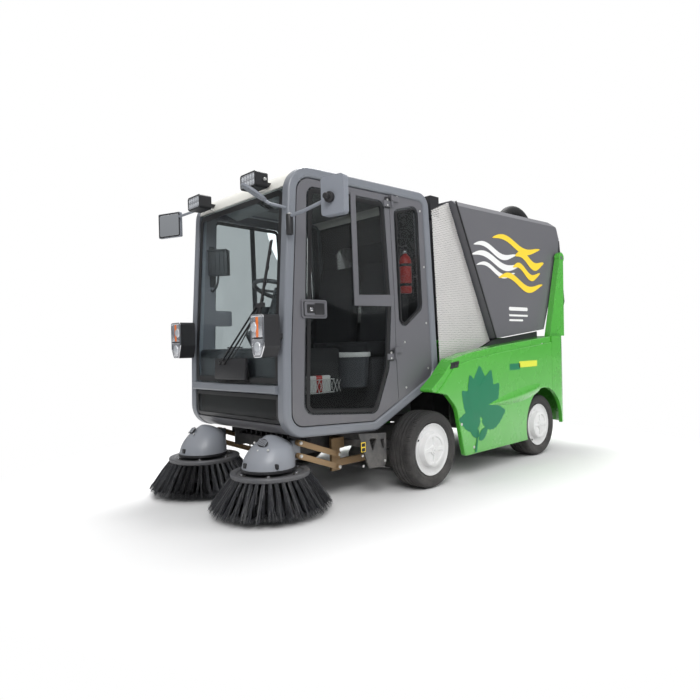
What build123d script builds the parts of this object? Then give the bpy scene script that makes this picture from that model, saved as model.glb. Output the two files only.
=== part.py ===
from build123d import *
import os
from math import atan2, cos, degrees, hypot, radians, sin, tan

os.makedirs("parts", exist_ok=True)

# Millimetres: +X is the sweeper's left, -Y its front, z 0 the ground.

# wheels
tyre_radius = 262.5
tyre_width = 195
rim_radius = 178
front_axle_y = -550
rear_axle_y = 955
front_wheel_x = 672.5
rear_wheel_x = 640
kingpin_x = 600
kingpin_radius = 12
steering_arm = 100
stub_radius = 22
running_gap = 0.05

# cab: side frames are flat tube loops, closer together in front
cab_front_x = 547
cab_front_y = -1620
cab_taper = 3
tube_width = 62
tube_depth = 60
panel_gap = 6
glass_thickness = 5

# hopper and bodywork
body_half_width = 780
hopper_half_width = 680
pivot_y = 1425
pivot_z = 1740
pivot_radius = 20
rear_y = 1440
door_tail_y = 1620
mesh_x = 620
tow_radius = 15
plate_spacing = 200

# tip cylinders
tip_x = 495
tip_base_y = 1076
tip_base_z = 464
tip_eye_y = 600
tip_eye_z = 975

# brushes
brush_x = 386
brush_y = -1628
brush_plate_z = 250
brush_plate_radius = 238
spindle_radius = 20
tuft_count = 40
tuft_width = 28
bristle_radius = 375
bristle_bottom_z = 34
link_x = 455
link_rear_y = -1150
link_front_y = -1465
link_rear_z = 205
link_front_z = 320
link_spacing = 80
link_pin_radius = 8
link_height = 36

parts = {}


def box_between(x, y, z):
    """A box from its two limits along each axis."""
    return Pos((x[0] + x[1]) / 2, (y[0] + y[1]) / 2, (z[0] + z[1]) / 2) * Box(
        x[1] - x[0], y[1] - y[0], z[1] - z[0]
    )


def mirrored(solid):
    return mirror(solid, about=Plane.YZ)


def side_extrusion(face, x0, x1):
    """Extrudes a face drawn with local x as Y and local y as Z, from x0 to x1."""
    return extrude(Plane.YZ.offset(x0) * face, x1 - x0)


def rounded_polygon(points):
    """A closed face from (u, v, corner radius) rows."""
    face = make_face(Polyline(*[(u, v) for u, v, r in points], close=True))
    for u, v, r in points:
        if r:
            corner = face.vertices().sort_by_distance((u, v, 0))[0]
            face = fillet(corner, r)
    return face


def rod(radius, start, end):
    """A cylinder between two points."""
    a, b = Vector(*start), Vector(*end)
    plane = Plane(origin=a, z_dir=(b - a))
    return extrude(plane * Circle(radius), (b - a).length)


# ---- cab side outline, (y, z, corner radius) ----
cab_outline = rounded_polygon(
    [
        (-1640, 448, 150),
        (-1627, 964, 2500),
        (-1553, 2058, 165),
        (-343, 2058, 105),
        (-272, 720, 150),
        (-905, 415, 110),
    ]
)
side_plane = Plane(
    origin=(cab_front_x, cab_front_y, 0),
    x_dir=(sin(radians(cab_taper)), cos(radians(cab_taper)), 0),
    z_dir=(cos(radians(cab_taper)), -sin(radians(cab_taper)), 0),
)
# the outline in the side plane is measured from the plane's own origin
local_outline = Pos(-cab_front_y, 0) * cab_outline


def inset(face, amount):
    return offset(face, -amount)


def side_leaf(face, outer, thickness):
    """A flat leaf of the left side whose outer face lies this far inside the side plane."""
    return extrude(side_plane.offset(-outer - thickness) * face, thickness)


# everything between the inner faces of the two side frames
cab_inside_y = (cab_front_y - 500, 500)


def inner_half(y):
    """Half the cab's inner width at this place along it."""
    return cab_front_x - tube_depth / cos(radians(cab_taper)) + (y - cab_front_y) * tan(radians(cab_taper))


cab_inside = extrude(
    make_face(Polyline(*[(sign * inner_half(y), y) for sign, y in zip((-1, 1, 1, -1), sorted(cab_inside_y * 2))], close=True)),
    2600,
)


def cab_ring(outer, thickness, region):
    """A stretch of wall that follows the cab outline, between the side frames."""
    ring = inset(cab_outline, outer) - inset(cab_outline, outer + thickness)
    return side_extrusion(ring & region, -700, 700) & cab_inside


def region(y, z):
    return Pos((y[0] + y[1]) / 2, (z[0] + z[1]) / 2) * Rectangle(y[1] - y[0], z[1] - z[0])


# ---- side frames, with the quarter panel behind the door ----
door_seam = [(-731, 2040), (-731, 2012), (-700, 1283), (-696, 875), (-682, 587), (-682, 400)]
seam_face = make_face(
    Polyline(*door_seam, (200, 400), (200, 2040), close=True)
)
local_seam = Pos(-cab_front_y, 0) * seam_face
tube_loop = local_outline - inset(local_outline, tube_width)
quarter_window = Pos(-cab_front_y, 0) * rounded_polygon(
    [(-676, 1890, 30), (-462, 1948, 40), (-436, 1235, 60), (-648, 1085, 40)]
)
quarter_face = (inset(local_outline, tube_width) & local_seam) - quarter_window
quarter_rebate = 14
glass_rebate = quarter_window - inset(quarter_window, -quarter_rebate)
side_frame = side_leaf(tube_loop, 0, tube_depth)
side_frame = fillet(
    side_frame.faces().filter_by(lambda f: abs(f.normal_at().dot(side_plane.z_dir) - 1) < 1e-6)[0].edges(),
    16,
)
quarter_panel = side_leaf(quarter_face, 12, 34)
quarter_pane_face = inset(quarter_window, -quarter_rebate)
quarter_pocket = side_leaf(quarter_pane_face, 12, glass_thickness)
quarter_panel -= quarter_pocket
# ---- doors ----
door_face = inset(local_outline, tube_width + panel_gap) - offset(local_seam, panel_gap)
door_window = Pos(-cab_front_y, 0) * rounded_polygon(
    [
        (-1412, 1932, 45),
        (-1472, 585, 60),
        (-900, 540, 60),
        (-782, 820, 90),
        (-751, 1214, 60),
        (-796, 1932, 45),
    ]
)
lock_panel = Pos(-cab_front_y - 1394, 1206) * RectangleRounded(190, 112, 12)
door_window -= lock_panel
door_outer = 10
door_thickness = 36
door = side_leaf(door_face - door_window, door_outer, door_thickness)
pane_rebate = 14
door -= side_leaf(inset(door_window, -pane_rebate), door_outer, glass_thickness)
# the sliding pane's frame lies on the glass and runs into the door's own frame
sash_face = Pos(-cab_front_y, 0) * make_face(
    Polyline(
        (-1082, 1960), (-1040, 1960), (-1030, 1306), (-730, 1318), (-730, 1240), (-1070, 1236), close=True
    )
)
sash_thickness = 6
door += side_leaf(sash_face, door_outer - sash_thickness, sash_thickness)
handle = side_leaf(
    Pos(-cab_front_y - 1394, 1206) * RectangleRounded(160, 84, 14), door_outer - 18, 18
)
door += handle
hinge_axis_y = -722
hinge_axis_out = 8
hinge_barrel = 9
hinge_base = side_plane.origin + side_plane.x_dir * ((hinge_axis_y - cab_front_y) / cos(radians(cab_taper)))
hinge_point = hinge_base + side_plane.z_dir * hinge_axis_out
hinge_heights = (900, 1930)
for hinge_z in hinge_heights:
    strap = side_leaf(
        Pos(-cab_front_y + hinge_axis_y - 35, hinge_z) * Rectangle(70, 40),
        -2,
        12,
    )
    door += strap + Pos(hinge_point.X, hinge_point.Y, hinge_z) * Cylinder(hinge_barrel, 40)
    fixed_strap = side_leaf(
        Pos(-cab_front_y + hinge_axis_y + 34, hinge_z + 42) * Rectangle(68, 36), -2, 7
    )
    fixed_strap += side_leaf(
        Pos(-cab_front_y + hinge_axis_y + 50, hinge_z + 42) * Rectangle(36, 36), -2, 14
    )
    quarter_panel += fixed_strap + Pos(hinge_point.X, hinge_point.Y, hinge_z + 42) * Cylinder(hinge_barrel, 36)
parts["side_frames"] = [side_frame, mirrored(side_frame)]
parts["quarter_panels"] = [quarter_panel, mirrored(quarter_panel)]
parts["door_left"] = [door]
parts["door_right"] = [mirrored(door)]
door_glass = side_leaf(inset(door_window, -pane_rebate + 2), door_outer, glass_thickness)
parts["door_glass_left"] = [door_glass]
parts["door_glass_right"] = [mirrored(door_glass)]
quarter_pane = side_leaf(inset(quarter_window, -quarter_rebate + 2), 12, glass_thickness)


# ---- cab shell: roof, rear wall, tub, windscreen and nose glass follow the outline ----
roof_front_z = 1934
rear_wall_top_z = 1985
roof_region = region((-1700, -380), (roof_front_z, 2100)) + region((-700, -200), (rear_wall_top_z, 2100))
roof_region -= region((-440, -200), (1500, rear_wall_top_z))
cab_roof = cab_ring(3, 34, roof_region)
parts["cab_roof"] = [cab_roof]

rear_window = Pos(0, 1480) * RectangleRounded(760, 620, 60)
rear_cut = extrude(Plane.XZ.offset(200) * rear_window, 400)
rear_rebate = extrude(Plane.XZ.offset(200) * offset(rear_window, 14), 400)
rear_wall = cab_ring(8, 26, region((-460, -200), (760, rear_wall_top_z)))
rear_pane_layer = cab_ring(8, glass_thickness, region((-460, -200), (760, rear_wall_top_z)))
rear_pane = rear_pane_layer & extrude(Plane.XZ.offset(200) * offset(rear_window, 12), 400)
rear_wall = rear_wall - rear_cut - (rear_pane_layer & rear_rebate)
parts["cab_rear_wall"] = [rear_wall]
parts["rear_glass"] = [quarter_pane, mirrored(quarter_pane), rear_pane]

tub_region = region((-1700, -200), (300, 760)) - region((-1800, -1560), (520, 900))
cab_tub = cab_ring(5, 26, tub_region)
parts["cab_tub"] = [cab_tub]

nose_top_z = 704
screen_bottom_z = 756
parts["windscreen"] = [
    cab_ring(14, 6, region((-1700, -1400), (screen_bottom_z + 2, roof_front_z - 3)))
]
parts["nose_glass"] = [
    cab_ring(14, 6, region((-1700, -1560), (523, nose_top_z - 3)))
]
front_bar = fillet(
    box_between((-700, 700), (-1650, -1600), (nose_top_z, screen_bottom_z)).edges().filter_by(Axis.X), 14
)
parts["front_bar"] = [front_bar & cab_inside]

wiper_y = -1633
wiper = box_between((-188, 182), (wiper_y - 24, wiper_y + 40), (776, 926))
wiper -= side_extrusion(inset(cab_outline, 14), -300, 300)
for arm_x in (-95, -45):
    wiper += rod(7, (arm_x, wiper_y - 20, 890), (arm_x + 410, wiper_y - 2, 1235))
wiper += box_between((300, 386), (wiper_y - 14, wiper_y + 8), (1222, 1252))
wiper += rod(9, (322, wiper_y - 10, 1110), (452, wiper_y + 16, 1610))
parts["wiper"] = [wiper]

# ---- cab inside ----
wheel_centre = Vector(150, -1345, 1350)
column_axis = Vector(0, 0.347, 0.938).normalized()
column_base = wheel_centre - column_axis * 400
dash_profile = rounded_polygon(
    [
        (-1590, 400, 0),
        (-1590, 985, 30),
        (-1440, 965, 40),
        (-1420, 860, 60),
        (-1500, 400, 0),
    ]
)
dash_inside = side_extrusion(inset(cab_outline, 31), -700, 700)
dashboard = side_extrusion(dash_profile, -470, 470) & dash_inside
column = rod(34, tuple(column_base - column_axis * 60), tuple(wheel_centre - column_axis * 46))
column += rod(12, tuple(wheel_centre - column_axis * 60), tuple(wheel_centre + column_axis * 10))
dashboard += column
parts["dashboard"] = [dashboard]
wheel_plane = Plane(origin=wheel_centre, x_dir=(1, 0, 0), z_dir=column_axis)
steering_wheel = wheel_plane * Torus(170, 14)
steering_wheel += wheel_plane * Pos(0, 0, -14) * Cylinder(38, 50)
for spoke_angle in (90, 210, 330):
    steering_wheel += wheel_plane * Rot(0, 0, spoke_angle) * Pos(95, 0, -8) * Box(150, 26, 9)
steering_wheel -= wheel_plane * Pos(0, 0, -20) * Cylinder(12 + running_gap, 62)
parts["steering_wheel"] = [steering_wheel]

seat_base = side_extrusion(
    make_face(Polyline((-860, 480), (-860, 900), (-420, 900), (-420, 480), close=True)) & inset(cab_outline, 31),
    -500,
    500,
)
seats = seat_base
for seat_x in (-262, 262):
    cushion = box_between((seat_x - 225, seat_x + 225), (-880, -430), (900, 1010))
    back = Rot(X=-8) * Box(440, 100, 640)
    back = Pos(seat_x, -455, 1300) * back
    seats += fillet(cushion.edges().filter_by(Axis.X), 40) + fillet(back.edges().filter_by(Axis.X), 40)
parts["seats"] = [seats]

# ---- chassis ----
rail_x = (300, 360)
rail_z = (300, 400)
chassis = box_between(rail_x, (-1400, rear_y - 30), rail_z)
chassis += mirrored(chassis)
for cross_y, reach in ((-1365, 360), (-1100, 360), (-700, 360), (100, body_half_width - 35), (560, body_half_width - 35), (tip_base_y, 522), (1330, 360)):
    chassis += box_between((-reach, reach), (cross_y - 35, cross_y + 35), (315, 385))
for mount_y in (-1350, -1000):
    for side in (-1, 1):
        block = box_between((330 - 60, 330 + 60), (mount_y - 40, mount_y + 40), (rail_z[1], 560))
        block = block if side > 0 else mirrored(block)
        chassis += block - side_extrusion(inset(cab_outline, 5), -700, 700)
for side in (-1, 1):
    for ear_x in (tip_x - 27, tip_x + 17):
        ear = box_between((ear_x, ear_x + 10), (tip_base_y - 28, tip_base_y + 28), (380, tip_base_z + 16))
        chassis += ear if side > 0 else mirrored(ear)
    pin = rod(12, (tip_x - 20, tip_base_y, tip_base_z), (tip_x + 20, tip_base_y, tip_base_z))
    chassis += pin if side > 0 else mirrored(pin)
arm_bracket_x = (415, 437)
arm_bracket = box_between((rail_x[1], arm_bracket_x[1]), (-1130, -1070), (315, 385))
arm_bracket += box_between(arm_bracket_x, (-1180, -1110), (175, 385))
arm_bracket += box_between(arm_bracket_x, (-1120, -865), (200, 245))
for pin_z in (link_rear_z, link_rear_z + link_spacing):
    arm_bracket += rod(link_pin_radius, (430, link_rear_y, pin_z), (link_x + 20, link_rear_y, pin_z))
parts["link_brackets"] = [arm_bracket, mirrored(arm_bracket)]
# side guards ahead of the front wheels
guard_x = 630
guard_face = rounded_polygon([(-1120, 424, 0), (-872, 404, 0), (-872, 215, 40), (-900, 186, 0), (-1035, 196, 30)])
guard_face -= rounded_polygon([(-1030, 385, 8), (-960, 378, 8), (-1000, 290, 8)])
guard_face -= rounded_polygon([(-930, 372, 8), (-892, 368, 8), (-892, 270, 8)])
for side in (-1, 1):
    guard = side_extrusion(guard_face, guard_x - 12, guard_x)
    guard += box_between((360, guard_x - 6), (-1064, -1038), (330, 370))
    guard = guard - side_extrusion(inset(cab_outline, 0), -700, 700)
    guard = guard.solids().sort_by(SortBy.VOLUME)[-1]
    chassis += guard if side > 0 else mirrored(guard)
parts["chassis_frame"] = [chassis]
parts["battery_block"] = [box_between((-450, 450), (-140, 860), (rail_z[1], 760))]

# ---- axles and knuckles ----
axle_z = tyre_radius
front_axle = box_between((-585, 585), (front_axle_y - 25, front_axle_y + 25), (240, 285))
front_axle += box_between((-380, 380), (front_axle_y - 25, front_axle_y + 25), (240, rail_z[0]))
for side in (-1, 1):
    front_axle += Pos(side * kingpin_x, front_axle_y, axle_z) * Cylinder(26, 70)
    front_axle += Pos(side * kingpin_x, front_axle_y, axle_z) * Cylinder(kingpin_radius, 116)
parts["front_axle"] = [front_axle]

knuckle = box_between((632, 648), (front_axle_y - 28, front_axle_y + 28), (205, 320))
for ear_z in (205, 302):
    ear = box_between((kingpin_x, 640), (front_axle_y - 28, front_axle_y + 28), (ear_z, ear_z + 18))
    ear += Pos(kingpin_x, front_axle_y, ear_z + 9) * Cylinder(28, 18)
    knuckle += ear
knuckle += box_between((kingpin_x - 12, kingpin_x + 12), (front_axle_y, front_axle_y + steering_arm), (205, 223))
knuckle += Pos(kingpin_x, front_axle_y + steering_arm, 214) * Cylinder(14, 18)
knuckle += Pos(kingpin_x, front_axle_y + steering_arm, 195) * Cylinder(8, 28)
knuckle -= Pos(kingpin_x, front_axle_y, axle_z) * Cylinder(kingpin_radius + running_gap, 140)
knuckle += rod(stub_radius, (640, front_axle_y, axle_z), (690, front_axle_y, axle_z))
parts["knuckle_left"] = [knuckle]
parts["knuckle_right"] = [mirrored(knuckle)]
tie_y = front_axle_y + steering_arm
tie_rod = rod(10, (-kingpin_x, tie_y, 191), (kingpin_x, tie_y, 191))
for side in (-1, 1):
    tie_rod += Pos(side * kingpin_x, tie_y, 191) * Cylinder(16, 24)
    tie_rod -= Pos(side * kingpin_x, tie_y, 191) * Cylinder(8 + running_gap, 30)
parts["tie_rod"] = [tie_rod]

rear_axle = box_between((-580, 580), (rear_axle_y - 40, rear_axle_y + 40), (230, rail_z[0]))
for side in (-1, 1):
    rear_axle += rod(stub_radius, (side * 570, rear_axle_y, axle_z), (side * (rear_wheel_x + 17), rear_axle_y, axle_z))
parts["rear_axle"] = [rear_axle]

# ---- wheels: (distance from the wheel's centre plane, radius) ----
tyre_half = tyre_width / 2
tyre_profile = [
    (-74, rim_radius), (-tyre_half + 6, 200), (-tyre_half, 225), (-tyre_half + 12, 252), (-66, tyre_radius),
    (66, tyre_radius), (tyre_half - 12, 252), (tyre_half, 225), (tyre_half - 6, 200), (74, rim_radius),
]
hub_cap_radius = 112
hub_cap_out = 105
rim_profile = [
    (-74, rim_radius - running_gap), (-74, 166), (-40, 160), (50, 156), (52, hub_cap_radius - 4), (94, hub_cap_radius - 12),
    (94, 48), (-18, 46), (-18, 0), (hub_cap_out, 0), (hub_cap_out, hub_cap_radius - 7), (hub_cap_out - 7, hub_cap_radius),
    (67, hub_cap_radius + 5), (60, hub_cap_radius + 12), (62, 140), (72, 162), (82, 168), (82, rim_radius - running_gap),
]


def wheel_ring(profile, x, y, side):
    """Revolves a profile about the wheel's axis, its outer face pointing to the side."""
    face = make_face(Polyline(*[(side * u, v) for u, v in profile], close=True))
    solid = revolve(face, Axis.X)
    return Pos(side * x, y, axle_z) * solid


for name, x, y, side in (
    ("front_left", front_wheel_x, front_axle_y, 1),
    ("front_right", front_wheel_x, front_axle_y, -1),
    ("rear_left", rear_wheel_x, rear_axle_y, 1),
    ("rear_right", rear_wheel_x, rear_axle_y, -1),
):
    parts["tyre_" + name] = [wheel_ring(tyre_profile, x, y, side)]
    rim = wheel_ring(rim_profile, x, y, side)
    bore = rod(stub_radius + running_gap, (side * (x - 30), y, axle_z), (side * (x + 19), y, axle_z))
    parts["rim_" + name] = [rim - bore]

# ---- bodywork ----
fender_face = rounded_polygon(
    [
        (-575, 655, 16),
        (-430, 752, 30),
        (-300, 868, 60),
        (-120, 905, 120),
        (250, 948, 300),
        (1117, 1022, 0),
        (1117, 170, 0),
        (-205, 166, 30),
        (-238, 300, 120),
        (-290, 520, 160),
        (-400, 622, 60),
    ]
)
arch = Pos(975, 270) * Circle(310)
fender_face -= arch
skirt_wall = 35
skirt_depth = 120
crease_step = 10
crease_depth = 40
crease_drop = 52
skyline = rounded_polygon(
    [
        (-640, 600, 0), (-430, 752, 0), (-300, 868, 0), (-120, 905, 0), (250, 948, 0),
        (1200, 1029, 0), (1200, 0, 0), (-640, 0, 0),
    ]
)


def softened(solid, radius):
    """Rounds the outer face's edges, apart from the seam at its rear."""
    edges = solid.faces().sort_by(Axis.X)[-1].edges()
    return fillet(edges.filter_by(lambda e: e.center().Y < 1116), radius)


# a crease runs below the skirt's top edge
fender = softened(side_extrusion(fender_face, body_half_width - skirt_depth, body_half_width - crease_step), 10)
crease_face = fender_face & (Pos(0, -crease_drop) * skyline)
fender += softened(side_extrusion(crease_face, body_half_width - crease_depth, body_half_width), 8)
latch_face = rounded_polygon([(-330, 843, 6), (-238, 852, 6), (-262, 808, 6), (-352, 799, 6)])
fender -= side_extrusion(latch_face, body_half_width - 22, body_half_width + 5)
fender -= side_extrusion(Pos(0, -30) * skyline, body_half_width - skirt_depth - 60, body_half_width - skirt_wall)
parts["fenders"] = [fender, mirrored(fender)]

# ---- rear body: the tail wall, a panel on each side and the deck above them ----
body_wall = 30
body_front_y = 1120
body_low_z = 250
deck_z = (995, 1025)
tail_corner = body_half_width - hopper_half_width + 80
side_panel_y = (body_front_y, rear_y - tail_corner)
plan = Pos(0, (body_front_y + rear_y) / 2) * Rectangle(2 * body_half_width, rear_y - body_front_y)
plan = fillet(plan.vertices().group_by(Axis.Y)[-1], tail_corner)
shell = extrude(Pos(0, 0, body_low_z) * plan, deck_z[0] - body_low_z)
shell -= extrude(Pos(0, 0, body_low_z) * offset(plan, -body_wall), deck_z[0] - body_low_z)
shell -= side_extrusion(arch, -body_half_width - 100, body_half_width + 100)
side_panel = shell & box_between((0, body_half_width), side_panel_y, (body_low_z, deck_z[0]))
side_panel &= box_between((body_half_width - body_wall, body_half_width), side_panel_y, (body_low_z, deck_z[0]))
parts["rear_sides"] = [side_panel, mirrored(side_panel)]
deck = extrude(Pos(0, 0, deck_z[0]) * plan, deck_z[1] - deck_z[0])
deck -= box_between((-hopper_half_width + 40, hopper_half_width - 40), (1000, 1400), (deck_z[0] - 10, deck_z[1] + 10))
parts["rear_deck"] = [deck]
tail = shell & box_between((-body_half_width, body_half_width), (side_panel_y[1], rear_y), (body_low_z, deck_z[0]))
tail += box_between((-35, 35), (rear_y - 5, rear_y + 40), (320, 340)) + Pos(0, rear_y + 40, 330) * Cylinder(35, 20)
tail -= Pos(0, rear_y + 45, 330) * Cylinder(tow_radius, 40)
for hole_x in (-plate_spacing / 2, plate_spacing / 2):
    tail -= rod(3.5, (hole_x, rear_y - 60, 700), (hole_x, rear_y + 20, 700))
parts["rear_body"] = [tail]
post_x = (hopper_half_width + 10, hopper_half_width + 60)
post_face = make_face(
    Polyline((1165, deck_z[1]), (1390, 1745), (1425, 1790), (1455, 1760), (rear_y, deck_z[1]), close=True)
)
post = side_extrusion(post_face, *post_x) + rod(44, (post_x[0], pivot_y, pivot_z), (post_x[1], pivot_y, pivot_z))
post -= rod(pivot_radius + running_gap, (post_x[0] - 10, pivot_y, pivot_z), (post_x[1] + 10, pivot_y, pivot_z))
parts["hopper_posts"] = [post, mirrored(post)]

# inner walls close the sides between the skirts and the hopper
inner_wall_face = make_face(
    Polyline((-200, 385), (-200, 790), (-60, 828), (407, 1000), (1110, 1068), (1110, 385), close=True)
)
inner_wall_gap = 12
inner_wall_outer = body_half_width - skirt_depth - inner_wall_gap
inner_wall = side_extrusion(inner_wall_face - arch, inner_wall_outer - 8, inner_wall_outer)
parts["inner_walls"] = [inner_wall, mirrored(inner_wall)]
parts["intake_box"] = [box_between((-mesh_x + 4, mesh_x - 4), (-325, -228), (1900, 2052))]
rear_lamp = fillet(box_between((490, 580), (rear_y, rear_y + 18), (840, 985)).edges().filter_by(Axis.Y), 12)
parts["rear_lamps"] = [rear_lamp, mirrored(rear_lamp)]
mesh_face = make_face(Polyline((-318, 1945), (-120, 2030), (-90, 2030), (448, 1010), (-60, 840), (-262, 775), close=True))
# ---- hopper: (y, z) outline of its side ----
hopper_face = make_face(
    Polyline(
        (-100, 2045), (1385, 2075), (1455, 2020), (1500, 1925), (1465, 1735), (1175, 1087), (407, 1012), close=True
    )
)
mesh_gap = 22
mesh_panel = side_extrusion(mesh_face - offset(hopper_face, mesh_gap), mesh_x - 4, mesh_x)
parts["mesh_panels"] = [mesh_panel, mirrored(mesh_panel)]
wall = 30
hopper = side_extrusion(hopper_face, -hopper_half_width, hopper_half_width)
hopper = chamfer(hopper.edges().filter_by(Axis.Y, tolerance=2).group_by(Axis.Z)[-1], 45)
hopper_hollow = side_extrusion(offset(hopper_face, -wall), -hopper_half_width + wall, hopper_half_width - wall)
rear_mouth = side_extrusion(
    make_face(Polyline((1400, 1900), (1600, 1900), (1600, 1400), (1250, 1330), close=True)),
    -hopper_half_width + 60, hopper_half_width - 60,
)
hopper = hopper - hopper_hollow - rear_mouth
for side in (-1, 1):
    hopper += rod(pivot_radius, (side * (hopper_half_width - 10), pivot_y, pivot_z), (side * (post_x[1] - 2), pivot_y, pivot_z))
parts["hopper"] = [hopper]


# the hopper's door hangs from lugs above its mouth
door_axis = (1522, 1945)
door_profile = make_face(
    Polyline(
        (1500, 1918), (1540, 1918), (door_tail_y, 1350), (1600, 1312), (1268, 1312), (1465, 1735), close=True
    )
)
door_clear = side_extrusion(offset(hopper_face, panel_gap), -700, 700)
hopper_door = side_extrusion(door_profile, -665, 665) - door_clear
door_core = side_extrusion(offset(door_profile, -28), -637, 637)
door_core += side_extrusion(Pos(-60, 0) * offset(door_profile, -28), -637, 637)
hopper_door -= door_core
for lug_x in (-420, 420):
    arm = box_between((lug_x - 20, lug_x + 20), (door_axis[0] - 18, door_axis[0] + 18), (1900, door_axis[1]))
    arm = arm - door_clear + rod(18, (lug_x - 20, *door_axis), (lug_x + 20, *door_axis))
    hopper_door += arm - rod(10 + running_gap, (lug_x - 30, *door_axis), (lug_x + 30, *door_axis))
    lug = rod(10, (lug_x - 45, *door_axis), (lug_x + 45, *door_axis))
    for cheek in (-38, 38):
        lug += box_between(
            (lug_x + cheek - 8, lug_x + cheek + 8), (1440, door_axis[0] + 14), (door_axis[1] - 14, 2000)
        )
    hopper += lug - hopper_hollow
parts["hopper_door"] = [hopper_door]

# tip cylinder eyes hang under the hopper's floor
for side in (-1, 1):
    for ear_x in (tip_x - 27, tip_x + 19):
        ear = box_between((ear_x, ear_x + 8), (tip_eye_y - 30, tip_eye_y + 30), (tip_eye_z - 24, 1045))
        hopper += (ear if side > 0 else mirrored(ear)) - hopper_hollow
parts["hopper"] = [hopper]

hose_path = ThreePointArc((420, 930, 2060), (420, 1160, 2185), (420, 1390, 2060))
top_hose = sweep(Plane(origin=hose_path @ 0, z_dir=hose_path % 0) * Circle(48), path=hose_path)
parts["top_hose"] = [top_hose - side_extrusion(hopper_face, -700, 700)]

# ---- telescopic tip cylinders, measured along their axis from the base pin ----
tip_plane = Plane(
    origin=(tip_x, tip_base_y, tip_base_z),
    x_dir=(1, 0, 0),
    z_dir=(0, tip_eye_y - tip_base_y, tip_eye_z - tip_base_z),
)
tip_closed = hypot(tip_eye_y - tip_base_y, tip_eye_z - tip_base_z)


def tip_tube(radius, start, end):
    return extrude(tip_plane.offset(start) * Circle(radius), end - start)


def tip_eye(radius, width, distance):
    centre = tip_plane.origin + tip_plane.z_dir * distance
    return rod(radius, (tip_x - width / 2, centre.Y, centre.Z), (tip_x + width / 2, centre.Y, centre.Z))


barrel = tip_eye(24, 24, 0) + tip_tube(11, 10, 60) + tip_tube(32, 46, 600)
barrel = barrel - tip_tube(24 + running_gap, 70, 620) - tip_eye(12 + running_gap, 40, 0)
stage = tip_tube(24, 80, 620) - tip_tube(15 + running_gap, 95, 640)
ram = tip_tube(15, 100, tip_closed - 10) + tip_eye(22, 22, tip_closed)
parts["tip_barrels"] = [barrel, mirrored(barrel)]
parts["tip_stages"] = [stage, mirrored(stage)]
parts["tip_rods"] = [ram, mirrored(ram)]

# ---- suction nozzle ----
nozzle_face = make_face(Polyline((-350, 30), (-350, 95), (-290, 170), (-130, 190), (-60, 95), (-60, 30), close=True))
nozzle = side_extrusion(nozzle_face, -290, 290)
nozzle -= side_extrusion(Pos(0, -12) * offset(nozzle_face, -12), -278, 278)
nozzle += Pos(0, -205, 205) * (Cylinder(85, 60) - Cylinder(77, 60))
nozzle -= Pos(0, -205, 190) * Cylinder(77, 120)
for side in (-1, 1):
    guide = box_between((284, rail_x[0] - 3), (-250, -160), (120, 345))
    nozzle += (guide if side > 0 else mirrored(guide)) - Pos(0, -205, 150) * Cylinder(80, 400)
parts["suction_nozzle"] = [nozzle]

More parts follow.
